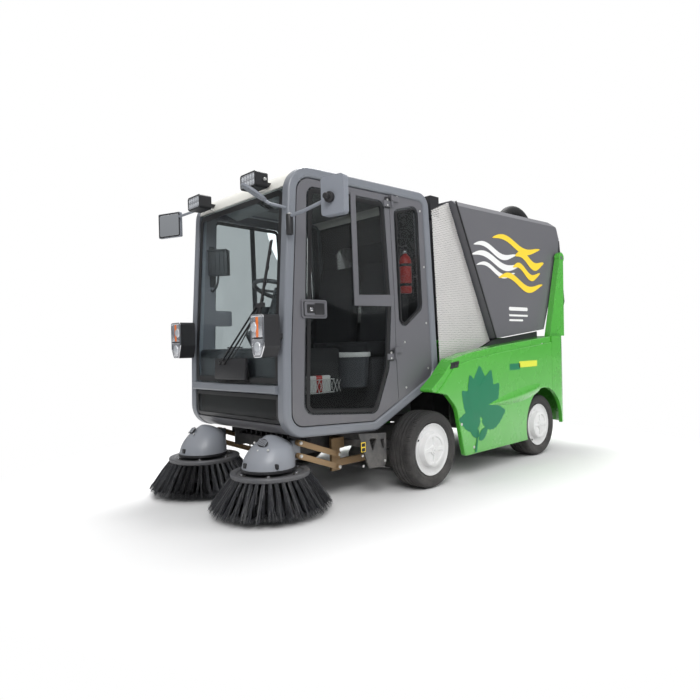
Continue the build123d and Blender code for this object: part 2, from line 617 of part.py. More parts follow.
# ---- brush units ----
# cover sections: (height, middle along Y, radius)
cover_sections = [
    (262, -1640, 156), (330, -1630, 148), (385, -1614, 122), (414, -1608, 90), (437, -1618, 46), (456, -1628, 22),
]
cover_wall = 6
cover_hull = loft([Pos(brush_x, y, z) * Circle(r) for z, y, r in cover_sections], ruled=True)
for side, name in ((1, "left"), (-1, "right")):
    for rear_z, front_z, which in (
        (link_rear_z + link_spacing, link_front_z + link_spacing, "upper"),
        (link_rear_z, link_front_z, "lower"),
    ):
        tilt = degrees(atan2(front_z - rear_z, link_rear_y - link_front_y))
        length = hypot(link_rear_y - link_front_y, front_z - rear_z)
        middle = ((link_rear_y + link_front_y) / 2, (rear_z + front_z) / 2)
        link = Pos(link_x, *middle) * Rot(X=-tilt) * Box(20, length, link_height)
        for eye_y, eye_z in ((link_rear_y, rear_z), (link_front_y, front_z)):
            link += rod(link_height / 2, (link_x - 10, eye_y, eye_z), (link_x + 10, eye_y, eye_z))
        for eye_y, eye_z in ((link_rear_y, rear_z), (link_front_y, front_z)):
            link -= rod(link_pin_radius + running_gap, (link_x - 20, eye_y, eye_z), (link_x + 20, eye_y, eye_z))
        parts[f"link_{which}_{name}"] = [link if side > 0 else mirrored(link)]

    cover = loft([Pos(brush_x, y, z) * Circle(r) for z, y, r in cover_sections], ruled=True)
    cover -= loft(
        [Pos(brush_x, y, z - cover_wall) * Circle(r - cover_wall) for z, y, r in cover_sections], ruled=True
    )
    cover -= box_between((404, 500), (-1525, -1400), (270, 480))
    motor = Pos(brush_x, brush_y, 355) * Cylinder(62, 120)
    spindle = Pos(brush_x, brush_y, 268) * Cylinder(spindle_radius, 64)
    head = motor + spindle
    head += box_between((brush_x - 165, brush_x + 120), (brush_y - 12, brush_y + 12), (300, 318)) & cover_hull
    head += cover
    # the bracket is a solid of its own, seated on the motor through the cover's slot
    bracket = box_between(
        (link_x - 38, link_x - 18),
        (link_front_y - 30, link_front_y + 28),
        (link_front_z - 26, link_front_z + link_spacing + 12),
    )
    bracket += box_between((brush_x - 20, link_x - 18), (brush_y, link_front_y - 10), (330, 372))
    for pin_z in (link_front_z, link_front_z + link_spacing):
        bracket += rod(link_pin_radius, (link_x - 25, link_front_y, pin_z), (link_x + 20, link_front_y, pin_z))
    bracket -= head
    plate_z = brush_plate_z
    plate = Cylinder(brush_plate_radius, 18)
    plate = fillet(plate.edges().group_by(Axis.Z)[-1], 7)
    brush = Pos(brush_x, brush_y, plate_z - 9) * plate
    brush -= Pos(brush_x, brush_y, plate_z) * Cylinder(brush_plate_radius - 46, 10)
    core_profile = make_face(
        Polyline((150, plate_z - 18), (222, plate_z - 18), (346, 52), (330, 44), (215, 44), close=True)
    )
    brush += Pos(brush_x, brush_y, 0) * revolve(Plane.XZ * core_profile, Axis.Z)
    tuft_profile = make_face(
        Polyline(
            (206, plate_z - 16),
            (brush_plate_radius - 3, plate_z - 16),
            (bristle_radius, bristle_bottom_z + 14),
            (bristle_radius - 8, bristle_bottom_z),
            (bristle_radius - 58, bristle_bottom_z),
            close=True,
        )
    )
    tuft = extrude(Plane.XZ.offset(-tuft_width / 2) * tuft_profile, tuft_width)
    brush += [
        Pos(brush_x, brush_y, 0) * Rot(Z=360 / tuft_count * turn) * tuft for turn in range(tuft_count)
    ]
    brush -= Pos(brush_x, brush_y, plate_z) * Cylinder(spindle_radius + running_gap, 60)
    parts["brush_head_" + name] = [head, bracket] if side > 0 else [mirrored(head), mirrored(bracket)]
    parts["brush_" + name] = [brush if side > 0 else mirrored(brush)]

# ---- lamps and mirrors, left ones first ----
headlamp_face = rounded_polygon(
    [(425, 1170, 16), (556, 1170, 20), (556, 985, 30), (524, 924, 14), (452, 924, 14), (425, 1010, 30)]
)
headlamp = extrude(Plane.XZ.offset(1655) * headlamp_face, 108)
headlamp += box_between((505, 535), (-1670, -1600), (1030, 1060)) - side_frame - cab_ring(0, 40, region((-1700, -1400), (700, 1900)))
parts["headlamps"] = [headlamp, mirrored(headlamp)]
work_lamp = fillet(box_between((246, 408), (-1690, -1604), (1930, 2022)).edges().filter_by(Axis.Y), 16)
work_lamp += box_between((312, 342), (-1620, -1520), (1965, 1985)) - cab_ring(3, 60, region((-1700, -1400), (1700, 2100)))
parts["work_lamps"] = [work_lamp, mirrored(work_lamp)]


mirror_y = -1578
# both side mirrors reach as far out as each other
mirror_reach = 1005
left_head = Rot(Z=12) * Box(150, 46, 210)
left_head = fillet(left_head.edges().group_by(SortBy.LENGTH)[0], 20)
left_place = (mirror_reach - left_head.bounding_box().max.X, -1545, 1785)
left_elbow = (700, -1570, 1745)
left_arm = rod(10, (575, mirror_y, 1735), left_elbow) + Pos(*left_elbow) * Sphere(10)
left_arm += rod(10, left_elbow, left_place)
left_arm += Pos(572, mirror_y, 1690) * Cylinder(18, 110)
left_arm += box_between((545, 575), (mirror_y - 14, mirror_y + 14), (1660, 1720))
left_mirror = Pos(*left_place) * left_head + (left_arm - side_frame - cab_inside)
right_head = Rot(Z=22) * Box(210, 24, 185)
right_head = fillet(right_head.edges().group_by(SortBy.LENGTH)[0], 8)
right_place = (-mirror_reach - right_head.bounding_box().min.X, mirror_y, 1935)
right_arm = rod(9, (right_place[0] + 73, mirror_y + 29, 1992), (-440, -1600, 1962))
right_arm += rod(9, (-440, -1603, 1962), (-440, -1540, 1962))
right_arm -= cab_ring(3, 60, region((-1700, -1400), (1700, 2100)))
right_mirror = Pos(*right_place) * right_head + right_arm
front_turn = Vector(0.376, 0.398, 0.837)
front_head = Plane(origin=(470, -1750, 1866), z_dir=front_turn) * Cylinder(82, 14)
front_arm = rod(9, (485, -1735, 1850), (525, -1680, 1800)) + rod(9, (525, -1680, 1802), (525, -1560, 1795))
front_mirror = front_head + (front_arm - side_frame)
front_mirror = front_mirror.solids().sort_by(SortBy.VOLUME)[-1]
parts["mirrors"] = [left_mirror, right_mirror, front_mirror]

# ---- centre the footprint on the origin and write every piece ----
mid_y = (brush_y - bristle_radius + door_tail_y) / 2
print("mid_y", mid_y)
for name, solids in parts.items():
    moved = [Pos(0, -mid_y, 0) * one for shape in solids for one in shape.solids()]
    if len(moved) != len(solids):
        print("PIECES", name, [round(m.volume) for m in moved])
    export_step(Compound(children=moved) if len(moved) > 1 else moved[0], f"parts/{name}.step")
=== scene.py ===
import math
import random

import bmesh
import bpy
from mathutils import Matrix, Vector


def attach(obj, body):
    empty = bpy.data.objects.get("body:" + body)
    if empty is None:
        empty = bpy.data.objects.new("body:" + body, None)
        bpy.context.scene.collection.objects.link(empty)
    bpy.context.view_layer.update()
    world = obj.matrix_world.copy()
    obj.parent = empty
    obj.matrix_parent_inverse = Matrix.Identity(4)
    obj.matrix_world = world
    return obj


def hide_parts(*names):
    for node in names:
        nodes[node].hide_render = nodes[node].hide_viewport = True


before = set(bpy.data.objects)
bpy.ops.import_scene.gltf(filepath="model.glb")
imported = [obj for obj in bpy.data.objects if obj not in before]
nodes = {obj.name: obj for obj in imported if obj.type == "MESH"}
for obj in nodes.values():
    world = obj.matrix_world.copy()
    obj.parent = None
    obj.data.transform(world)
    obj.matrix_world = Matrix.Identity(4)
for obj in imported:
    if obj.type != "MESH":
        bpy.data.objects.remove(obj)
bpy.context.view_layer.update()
scene = bpy.context.scene
print("frame loaded")

# metres: +X is the sweeper's left, -Y its front, z 0 the ground
cab = {"frontX": 0.547, "frontY": -1.4285, "taper": math.radians(3)}


def node(tree, kind, inputs=None, **settings):
    # a shader node with each named socket linked or set
    made = tree.nodes.new("ShaderNode" + kind)
    for key, value in settings.items():
        setattr(made, key, value)
    for key, value in (inputs or {}).items():
        socket = made.inputs[key]
        if isinstance(value, bpy.types.NodeSocket):
            tree.links.new(value, socket)
        else:
            socket.default_value = value
    return made


# camera, light and floor
shot = {
    "place": (3.187, -3.4225, 0.971),
    "azimuth": 46.575,
    "elevation": 0.312,
    "roll": -1.495,
    "lens": 29.37,
    "shift": (0.0026, 0.0004),
}


def makeCamera():
    a, e, r = (math.radians(shot[k]) for k in ("azimuth", "elevation", "roll"))
    back = Vector((math.sin(a) * math.cos(e), -math.cos(a) * math.cos(e), math.sin(e)))
    right = Vector((math.cos(a), math.sin(a), 0))
    up = back.cross(right)
    across = right * math.cos(r) + up * math.sin(r)
    upright = up * math.cos(r) - right * math.sin(r)
    turn = Matrix((across, upright, back)).transposed().to_4x4()
    camera = bpy.data.objects.new("camera", bpy.data.cameras.new("camera"))
    scene.collection.objects.link(camera)
    camera.matrix_world = Matrix.Translation(shot["place"]) @ turn
    camera.data.lens = shot["lens"]
    camera.data.shift_x, camera.data.shift_y = shot["shift"]
    camera.data.clip_end = 100
    scene.camera = camera


studio = {
    # light from all round: colour and strength low down and overhead
    "low": ((0.80, 0.86, 0.95), 0.16),
    "high": ((1.0, 1.0, 1.0), 0.80),
    # name: (place, aim, size, watts)
    "lamps": {
        "keyLamp": ((4.5, -4.5, 5.5), (0, 0, 0.9), 4.0, 300),
        "sideLamp": ((5.5, 3.5, 3.0), (0, 0.2, 0.9), 3.0, 130),
        "topLamp": ((-1.2, 1.2, 7.0), (0, 0, 0.5), 3.0, 520),
        "rearLamp": ((-4.5, 4.5, 3.5), (0, 0.5, 1.0), 4.0, 110),
    },
    "floorSize": 60,
    "floorColor": (0.72, 0.72, 0.72, 1),
    # how far from the middle the floor begins and ends its fade to plain white
    "fade": (2.0, 3.1),
}


def backdropRays(tree):
    # 1 for the rays that see the backdrop: from the camera or through a pane
    path = node(tree, "LightPath")
    rays = {0: path.outputs["Is Camera Ray"], 1: path.outputs["Is Transmission Ray"]}
    return node(tree, "Math", rays, operation="MAXIMUM").outputs[0]


def makeWorld():
    world = bpy.data.worlds.new("studio")
    world.use_nodes = True
    scene.world = world
    tree = world.node_tree
    tree.nodes.clear()
    split = node(tree, "SeparateXYZ", {0: node(tree, "TexCoord").outputs["Generated"]})
    rise = node(tree, "MapRange", {"Value": split.outputs["Z"], "From Min": 0, "From Max": 0.8})
    low, high = ([c * strength for c in color] + [1] for color, strength in (studio["low"], studio["high"]))
    shade = node(tree, "Mix", {0: rise.outputs[0], 6: low, 7: high}, data_type="RGBA")
    soft = node(tree, "Background", {"Color": shade.outputs[2]})
    white = node(tree, "Background", {"Color": (1, 1, 1, 1)})
    mix = node(tree, "MixShader", {0: backdropRays(tree), 1: soft.outputs[0], 2: white.outputs[0]})
    node(tree, "OutputWorld", {0: mix.outputs[0]})


def makeLamps():
    for name, (place, aim, size, watts) in studio["lamps"].items():
        lamp = bpy.data.lights.new(name, "AREA")
        lamp.shape = "DISK"
        lamp.size = size
        lamp.energy = watts
        holder = bpy.data.objects.new(name, lamp)
        scene.collection.objects.link(holder)
        holder.location = place
        holder.rotation_euler = (Vector(aim) - Vector(place)).to_track_quat("-Z", "Y").to_euler()
        # the panes mirror this one's disc, so it gives light alone
        holder.visible_glossy = name != "sideLamp"


def makeFloor():
    bm = bmesh.new()
    bmesh.ops.create_grid(bm, x_segments=1, y_segments=1, size=studio["floorSize"] / 2)
    mesh = bpy.data.meshes.new("floor")
    bm.to_mesh(mesh)
    bm.free()
    floor = bpy.data.objects.new("floor", mesh)
    scene.collection.objects.link(floor)
    material = bpy.data.materials.new("paleFloor")
    material.use_nodes = True
    tree = material.node_tree
    base = tree.nodes["Principled BSDF"]
    base.inputs["Base Color"].default_value = studio["floorColor"]
    base.inputs["Roughness"].default_value = 0.9
    base.inputs["Specular IOR Level"].default_value = 0
    glow = node(tree, "Emission", {"Color": (1, 1, 1, 1)})
    reach = node(tree, "VectorMath", {0: node(tree, "TexCoord").outputs["Object"]}, operation="LENGTH")
    near, far = studio["fade"]
    ends = {"Value": reach.outputs["Value"], "From Min": near, "From Max": far}
    fade = node(tree, "MapRange", ends, interpolation_type="SMOOTHSTEP")
    share = node(tree, "Math", {0: backdropRays(tree), 1: fade.outputs[0]}, operation="MULTIPLY")
    mix = node(tree, "MixShader", {0: share.outputs[0], 1: base.outputs[0], 2: glow.outputs[0]})
    tree.links.new(mix.outputs[0], tree.nodes["Material Output"].inputs[0])
    mesh.materials.append(material)


makeCamera()
makeWorld()
makeLamps()
makeFloor()
scene.view_settings.view_transform = "Standard"
print("camera and studio ready")


# shader groups that several finishes share
def newGroup(name, inputs, outputs):
    group = bpy.data.node_groups.new(name, "ShaderNodeTree")
    for label, value in inputs.items():
        socket = group.interface.new_socket(label, in_out="INPUT", socket_type="NodeSocketFloat")
        socket.default_value = value
    for label, kind in outputs.items():
        group.interface.new_socket(label, in_out="OUTPUT", socket_type="NodeSocket" + kind)
    return group, group.nodes.new("NodeGroupInput").outputs, group.nodes.new("NodeGroupOutput").inputs


def useGroup(tree, group, values):
    made = tree.nodes.new("ShaderNodeGroup")
    made.node_tree = group
    for label, value in values.items():
        made.inputs[label].default_value = value
    return made.outputs


def noise(tree, scale, detail, roughness=0.5):
    place = node(tree, "TexCoord").outputs["Object"]
    made = node(tree, "TexNoise", {"Vector": place, "Scale": scale, "Detail": detail, "Roughness": roughness})
    return made.outputs["Fac"]


def ramp(tree, value, low, high, toLow=0.0, toHigh=1.0):
    ends = {"Value": value, "From Min": low, "From Max": high, "To Min": toLow, "To Max": toHigh}
    return node(tree, "MapRange", ends).outputs[0]


def times(tree, first, second):
    return node(tree, "Math", {0: first, 1: second}, operation="MULTIPLY").outputs[0]


def blend(tree, share, first, second):
    # a mix of two colours, each a socket or (r, g, b)
    pair = [c if isinstance(c, bpy.types.NodeSocket) else (*c, 1) for c in (first, second)]
    return node(tree, "Mix", {0: share, 6: pair[0], 7: pair[1]}, data_type="RGBA").outputs[2]


def makeGrain():
    # fine bumps and slow blotches on Object coordinates
    group, given, out = newGroup(
        "grain", {"Scale": 300, "Blotch Scale": 4}, {"Fine": "Float", "Blotch": "Float"}
    )
    group.links.new(noise(group, given["Scale"], 3, 0.6), out["Fine"])
    group.links.new(noise(group, given["Blotch Scale"], 4, 0.55), out["Blotch"])
    return group


def makeEdgeWear():
    # a mask of rubbed edges, broken up by noise, and a normal that softens the edges
    group, given, out = newGroup(
        "edgeWear", {"Radius": 0.004, "Amount": 0.3, "Scale": 25}, {"Edge": "Float", "Normal": "Vector"}
    )
    soft = node(group, "Bevel", {"Radius": given["Radius"]}, samples=4).outputs[0]
    flat = node(group, "NewGeometry").outputs["Normal"]
    turn = node(group, "VectorMath", {0: soft, 1: flat}, operation="DOT_PRODUCT").outputs["Value"]
    bend = ramp(group, turn, 0.97, 0.86)
    worn = ramp(group, noise(group, given["Scale"], 5), 0.45, 0.65)
    group.links.new(times(group, times(group, bend, worn), given["Amount"]), out["Edge"])
    group.links.new(soft, out["Normal"])
    return group


def makeRoadDust():
    # more dust low down
    group, given, out = newGroup("roadDust", {"Top": 0.7, "Amount": 0.4, "Scale": 14}, {"Dust": "Float"})
    height = node(group, "SeparateXYZ", {0: node(group, "TexCoord").outputs["Object"]}).outputs["Z"]
    low = ramp(group, height, given["Top"], 0.05)
    broken = ramp(group, noise(group, given["Scale"], 6, 0.65), 0.35, 0.75, 0.2)
    group.links.new(times(group, times(group, low, broken), given["Amount"]), out["Dust"])
    return group


grainGroup, wearGroup, dustGroup = makeGrain(), makeEdgeWear(), makeRoadDust()


def finish(
    name, color, roughness, metallic=0.0, coat=0.0, tone=0.12, grain=300, bump=0.05, blotch=4.0,
    wear=0.0, wornColor=(0.45, 0.45, 0.45), radius=0.003, dust=0.0, dustTop=0.7, dustColor=(0.30, 0.28, 0.25),
):
    # a solid finish with tone changes, grain, rubbed edges and road dust
    material = bpy.data.materials.new(name)
    material.use_nodes = True
    tree = material.node_tree
    shader = tree.nodes["Principled BSDF"]
    grains = useGroup(tree, grainGroup, {"Scale": grain, "Blotch Scale": blotch})
    edges = useGroup(tree, wearGroup, {"Radius": radius, "Amount": wear})
    dark = [c * (1 - tone) for c in color]
    light = [min(1, c * (1 + tone)) for c in color]
    shade = blend(tree, grains["Blotch"], dark, light)
    if wear:
        shade = blend(tree, edges["Edge"], shade, wornColor)
    spread = 0.06
    rough = ramp(tree, grains["Blotch"], 0.3, 0.7, max(0, roughness - spread), min(1, roughness + spread))
    if dust:
        dirt = useGroup(tree, dustGroup, {"Top": dustTop, "Amount": dust})["Dust"]
        shade = blend(tree, dirt, shade, dustColor)
        rough = node(tree, "Mix", {0: dirt, 2: rough, 3: 0.85}, data_type="FLOAT").outputs[0]
    tree.links.new(shade, shader.inputs["Base Color"])
    tree.links.new(rough, shader.inputs["Roughness"])
    shader.inputs["Metallic"].default_value = metallic
    shader.inputs["Coat Weight"].default_value = coat
    shader.inputs["Coat Roughness"].default_value = 0.08
    dent = {"Height": grains["Fine"], "Normal": edges["Normal"], "Strength": bump, "Distance": 0.001}
    tree.links.new(node(tree, "Bump", dent).outputs[0], shader.inputs["Normal"])
    return material


def clearGlass(name, tint, film=0.06):
    # see-through without a hard shadow, with a thin uneven film of dirt
    material = bpy.data.materials.new(name)
    material.use_nodes = True
    tree = material.node_tree
    shader = tree.nodes["Principled BSDF"]
    shader.inputs["Roughness"].default_value = 0
    shader.inputs["Transmission Weight"].default_value = 1
    shader.inputs["IOR"].default_value = 1.15
    thick = [t * (1 - film) for t in tint]
    thin = [min(1, t * (1 + film)) for t in tint]
    tree.links.new(blend(tree, noise(tree, 5, 4), thick, thin), shader.inputs["Base Color"])
    clear = node(tree, "BsdfTransparent", {"Color": (*[0.55 + 0.45 * t for t in tint], 1)})
    path = node(tree, "LightPath")
    ways = {0: path.outputs["Is Shadow Ray"], 1: shader.outputs[0], 2: clear.outputs[0]}
    mix = node(tree, "MixShader", ways)
    tree.links.new(mix.outputs[0], tree.nodes["Material Output"].inputs[0])
    return material


def holedSteel(name, color, pitch, hole):
    # sheet steel with staggered round holes, told by place along y and z
    material = finish(name, color, 0.38, metallic=0.3, tone=0.08, bump=0.03, dust=0.2)
    tree = material.node_tree
    split = node(tree, "SeparateXYZ", {0: node(tree, "TexCoord").outputs["Object"]})
    flat = node(tree, "CombineXYZ", {0: split.outputs["Y"], 1: split.outputs["Z"]}).outputs[0]
    cell = Vector((pitch, pitch * math.sqrt(3), 1))
    size, half = Vector((cell.x, cell.y, 0)), Vector((0.5, 0.5, 0))
    gaps = []
    for shift in (0, 0.5):
        # the distance from the middle of this point's cell
        away = flat
        steps = [("ADD", size * shift), ("DIVIDE", cell), ("FRACTION", size), ("SUBTRACT", half)]
        for operation, by in steps + [("MULTIPLY", size)]:
            away = node(tree, "VectorMath", {0: away, 1: by}, operation=operation).outputs[0]
        gaps.append(node(tree, "VectorMath", {0: away}, operation="LENGTH").outputs["Value"])
    near = node(tree, "Math", {0: gaps[0], 1: gaps[1]}, operation="MINIMUM").outputs[0]
    solid = node(tree, "Math", {0: near, 1: hole / 2}, operation="GREATER_THAN").outputs[0]
    tree.links.new(solid, tree.nodes["Principled BSDF"].inputs["Alpha"])
    return material


finishTable = {
    "cabGrey": dict(
        color=(0.112, 0.112, 0.124), roughness=0.42, tone=0.05, coat=0.15, wear=0.25, dust=0.35,
        dustTop=0.8,
    ),
    # the tubes' and front bar's own blue-grey paint, made lighter than the panels' grey as a painted highlight
    # of the round tubes
    "tubePaintAndHighlight": dict(color=(0.165, 0.177, 0.200), roughness=0.36, tone=0.05, coat=0.2, wear=0.25, dust=0.3),
    "hopperGrey": dict(
        color=(0.112, 0.112, 0.123), roughness=0.45, tone=0.06, coat=0.1, wear=0.2, blotch=2.0,
    ),
    "brightGreen": dict(
        color=(0.070, 0.385, 0.038), roughness=0.26, tone=0.04, coat=0.6, grain=500, bump=0.02, dust=0.15,
        dustTop=0.45, radius=0.002,
    ),
    "chassisBlack": dict(
        color=(0.035, 0.036, 0.040), roughness=0.55, tone=0.2, wear=0.4, wornColor=(0.2, 0.17, 0.15),
        dust=0.6,
    ),
    "castSteel": dict(color=(0.11, 0.11, 0.11), roughness=0.6, metallic=0.4, tone=0.2, bump=0.2, dust=0.5),
    "roofWhite": dict(color=(0.70, 0.69, 0.64), roughness=0.4, tone=0.05, coat=0.2, wear=0.1, blotch=3.0),
    "wheelWhite": dict(
        color=(0.72, 0.72, 0.72), roughness=0.38, tone=0.06, wear=0.25, wornColor=(0.4, 0.38, 0.36),
        dust=0.35, dustTop=0.6,
    ),
    "blackPlastic": dict(
        color=(0.014, 0.014, 0.016), roughness=0.5, tone=0.2, grain=500, bump=0.15, wear=0.2,
        wornColor=(0.12, 0.12, 0.12),
    ),
    "trimGrey": dict(color=(0.20, 0.215, 0.245), roughness=0.5, tone=0.06, grain=600, bump=0.12),
    "coverGrey": dict(
        color=(0.235, 0.25, 0.28), roughness=0.38, tone=0.06, grain=400, bump=0.08, coat=0.1, wear=0.2,
        dust=0.35, dustTop=0.5,
    ),
    "rubber": dict(
        color=(0.018, 0.018, 0.019), roughness=0.62, tone=0.2, grain=350, bump=0.2, dust=0.35, dustTop=0.5,
    ),
    "tyreRubber": dict(
        color=(0.022, 0.021, 0.021), roughness=0.68, tone=0.25, grain=450, bump=0.25, dust=0.5, dustTop=0.5,
        dustColor=(0.16, 0.15, 0.14),
    ),
    "chrome": dict(color=(0.75, 0.75, 0.77), roughness=0.10, metallic=1.0, tone=0.04, bump=0.01),
    "bronzeLink": dict(
        color=(0.36, 0.235, 0.12), roughness=0.42, metallic=0.55, tone=0.15, wear=0.4,
        wornColor=(0.5, 0.42, 0.3), dust=0.4, dustTop=0.5,
    ),
    "cloth": dict(color=(0.030, 0.030, 0.034), roughness=0.9, tone=0.25, grain=900, bump=0.1),
    "sealBlack": dict(color=(0.008, 0.008, 0.009), roughness=0.45, tone=0.1, grain=500, bump=0.05),
    "boltPale": dict(color=(0.62, 0.62, 0.60), roughness=0.35, metallic=0.7, tone=0.08),
    "bristle": dict(color=(0.045, 0.047, 0.054), roughness=0.55, tone=0.35, grain=200, blotch=60),
    "bristlePale": dict(color=(0.17, 0.17, 0.175), roughness=0.5, tone=0.3, grain=200, blotch=60),
    "coverDark": dict(
        color=(0.075, 0.078, 0.088), roughness=0.45, tone=0.15, grain=400, bump=0.1, wear=0.5,
        wornColor=(0.3, 0.3, 0.31), dust=0.4, dustTop=0.5,
    ),
    "reflector": dict(
        color=(0.62, 0.63, 0.66), roughness=0.18, metallic=0.85, tone=0.15, grain=120, bump=0.4,
    ),
    "amberLens": dict(color=(0.75, 0.16, 0.02), roughness=0.2, coat=0.6, grain=150, bump=0.3),
    "redLens": dict(color=(0.45, 0.012, 0.010), roughness=0.2, coat=0.6, grain=150, bump=0.3),
    "mirrorGlass": dict(color=(0.80, 0.82, 0.84), roughness=0.04, metallic=1.0, tone=0.02, bump=0.0),
    "foilWhite": dict(color=(0.78, 0.78, 0.77), roughness=0.4, tone=0.03, grain=500, bump=0.02),
    "foilYellow": dict(color=(0.85, 0.60, 0.035), roughness=0.4, tone=0.04, grain=500, bump=0.02),
    "foilGreen": dict(color=(0.0, 0.165, 0.072), roughness=0.45, tone=0.04, grain=500, bump=0.02),
    "foilLime": dict(color=(0.66, 0.70, 0.05), roughness=0.4, tone=0.04, grain=500, bump=0.02),
    "signalRed": dict(
        color=(0.45, 0.012, 0.010), roughness=0.3, coat=0.4, tone=0.06, wear=0.2,
        wornColor=(0.5, 0.3, 0.28),
    ),
    "wireWhite": dict(color=(0.65, 0.65, 0.64), roughness=0.35, tone=0.05),
    "screenDark": dict(color=(0.010, 0.011, 0.013), roughness=0.12, coat=0.5, tone=0.1),
    "interiorGrey": dict(color=(0.045, 0.045, 0.05), roughness=0.6, tone=0.15, grain=500, bump=0.05),
    "interiorDark": dict(color=(0.022, 0.022, 0.024), roughness=0.6, tone=0.15, grain=500, bump=0.05),
    "liningGrey": dict(color=(0.20, 0.205, 0.205), roughness=0.85, tone=0.08, grain=800, bump=0.3),
    "lensGlass": dict(color=(0.55, 0.57, 0.60), roughness=0.08, metallic=0.3, coat=0.8, grain=90, bump=0.3),
}
paint = {name: finish(name, **looks) for name, looks in finishTable.items()}
paint["holedSteel"] = holedSteel("holedSteel", (0.74, 0.725, 0.71), 0.0155, 0.0092)
paint["screenGlass"] = clearGlass("screenGlass", (0.80, 0.87, 0.89))
# the side panes get a light glass tint, darkened further than the windscreen's as painted shade of the dark cab
# inside seen through them
paint["sideGlassTintAndShade"] = clearGlass("sideGlassTintAndShade", (0.40, 0.42, 0.42))

# the CAD nodes, by finish
nodeFinish = {
    "chassisBlack": [
        "chassis_frame", "front_axle", "rear_axle", "tip_barrels", "suction_nozzle", "inner_walls",
    ],
    "blackPlastic": [
        "battery_block", "wiper", "dashboard", "steering_wheel", "hopper_door", "brush_left", "brush_right",
        "intake_box", "rear_lamps", "headlamps", "work_lamps",
    ],
    "castSteel": ["knuckle_left", "knuckle_right", "tie_rod"],
    "cabGrey": ["cab_tub", "door_left", "door_right", "quarter_panels"],
    "tubePaintAndHighlight": ["side_frames", "front_bar"],
    "roofWhite": ["cab_roof"],
    "screenGlass": ["windscreen"],
    "sideGlassTintAndShade": ["nose_glass", "rear_glass", "door_glass_left", "door_glass_right"],
    "interiorDark": ["cab_rear_wall"],
    "cloth": ["seats"],
    "holedSteel": ["mesh_panels"],
    "brightGreen": ["fenders", "rear_body", "hopper_posts", "rear_sides", "rear_deck"],
    "hopperGrey": ["hopper"],
    "rubber": ["top_hose"],
    "chrome": ["tip_stages", "tip_rods"],
    "bronzeLink": [
        "link_upper_left", "link_upper_right", "link_lower_left", "link_lower_right", "link_brackets",
    ],
    "coverGrey": ["brush_head_left", "brush_head_right"],
    "trimGrey": ["mirrors"],
    "tyreRubber": ["tyre_front_left", "tyre_front_right", "tyre_rear_left", "tyre_rear_right"],
    "wheelWhite": ["rim_front_left", "rim_front_right", "rim_rear_left", "rim_rear_right"],
}
for used, names in nodeFinish.items():
    for name in names:
        mesh = nodes[name].data
        mesh.materials.clear()
        mesh.materials.append(paint[used])
# the lamps' and mirrors' boards get rounded edges
for name, width in (("mirrors", 0.012), ("headlamps", 0.008), ("work_lamps", 0.008)):
    rounding = nodes[name].modifiers.new("rounding", "BEVEL")
    rounding.width = width
    rounding.segments = 3
    rounding.limit_method = "ANGLE"
    rounding.angle_limit = math.radians(50)
print("finishes laid on the frame")


# modelling helpers: each makes a part as a bmesh, and join() places it in a piece
def join(bm, part, place=None, used=0):
    before = len(bm.faces)
    mesh = bpy.data.meshes.new("part")
    part.to_mesh(mesh)
    part.free()
    if place:
        mesh.transform(place)
        if place.is_negative:
            mesh.flip_normals()
    bm.from_mesh(mesh)
    bpy.data.meshes.remove(mesh)
    bm.faces.ensure_lookup_table()
    for face in bm.faces[before:]:
        face.material_index = used


def makePiece(name, bm, finishes, body="body", replaced=(), sharp=35):
    mesh = bpy.data.meshes.new(name)
    bm.to_mesh(mesh)
    bm.free()
    for used in finishes:
        mesh.materials.append(paint[used])
    mesh.shade_smooth()
    mesh.set_sharp_from_angle(angle=math.radians(sharp))
    piece = bpy.data.objects.new(name, mesh)
    scene.collection.objects.link(piece)
    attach(piece, body)
    if replaced:
        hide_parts(*replaced)
    return piece


def moved(x=0, y=0, z=0):
    return Matrix.Translation((x, y, z))


def turnedBy(axis, degrees):
    return Matrix.Rotation(math.radians(degrees), 4, axis)


def mirrored(side):
    return Matrix.Diagonal((side, 1, 1, 1))


def axes(across, upward, outward):
    # a turn that lays a part's x, y and z along these directions
    return Matrix((across, upward, outward)).transposed().to_4x4()


def aimed(start, end):
    # stands a part made along z from 0 on the line from start to end
    start, end = Vector(start), Vector(end)
    return Matrix.Translation(start) @ (end - start).to_track_quat("Z", "Y").to_matrix().to_4x4()


def roundEdges(part, edges, size, steps=2):
    bmesh.ops.bevel(part, geom=edges, offset=size, affect="EDGES", segments=steps, profile=0.5, material=-1)


def block(x, y, z, bevel=0.0):
    part = bmesh.new()
    bmesh.ops.create_cube(part, size=1, matrix=Matrix.Diagonal((x, y, z, 1)))
    if bevel:
        roundEdges(part, part.edges[:], bevel)
    return part


def barrel(radius, length, sides=24, bevel=0.0):
    # a cylinder along z from 0
    part = bmesh.new()
    bmesh.ops.create_cone(
        part, cap_ends=True, segments=sides, radius1=radius, radius2=radius, depth=length,
        matrix=moved(z=length / 2),
    )
    if bevel:
        roundEdges(part, [e for e in part.edges if len({round(v.co.z, 5) for v in e.verts}) == 1], bevel)
    return part


def bolt(size, height):
    return barrel(size, height, sides=6, bevel=height * 0.2)


def rounded(rows, steps=5):
    # an outline from (u, v, corner radius) rows
    outline = []
    for i, (u, v, r) in enumerate(rows):
        here, before, after = Vector((u, v)), Vector(rows[i - 1][:2]), Vector(rows[(i + 1) % len(rows)][:2])
        if not r:
            outline.append(here)
            continue
        a, b = (before - here).normalized(), (after - here).normalized()
        half = a.angle(b) / 2
        centre = here + (a + b).normalized() * (r / math.sin(half))
        start, end = here + a * (r / math.tan(half)) - centre, here + b * (r / math.tan(half)) - centre
        outline += [centre + start.lerp(end, k / steps).normalized() * r for k in range(steps + 1)]
    return outline


def roundBox(width, height, radius, u=0, v=0):
    corners = ((-1, -1), (1, -1), (1, 1), (-1, 1))
    return rounded([(u + su * width / 2, v + sv * height / 2, radius) for su, sv in corners])


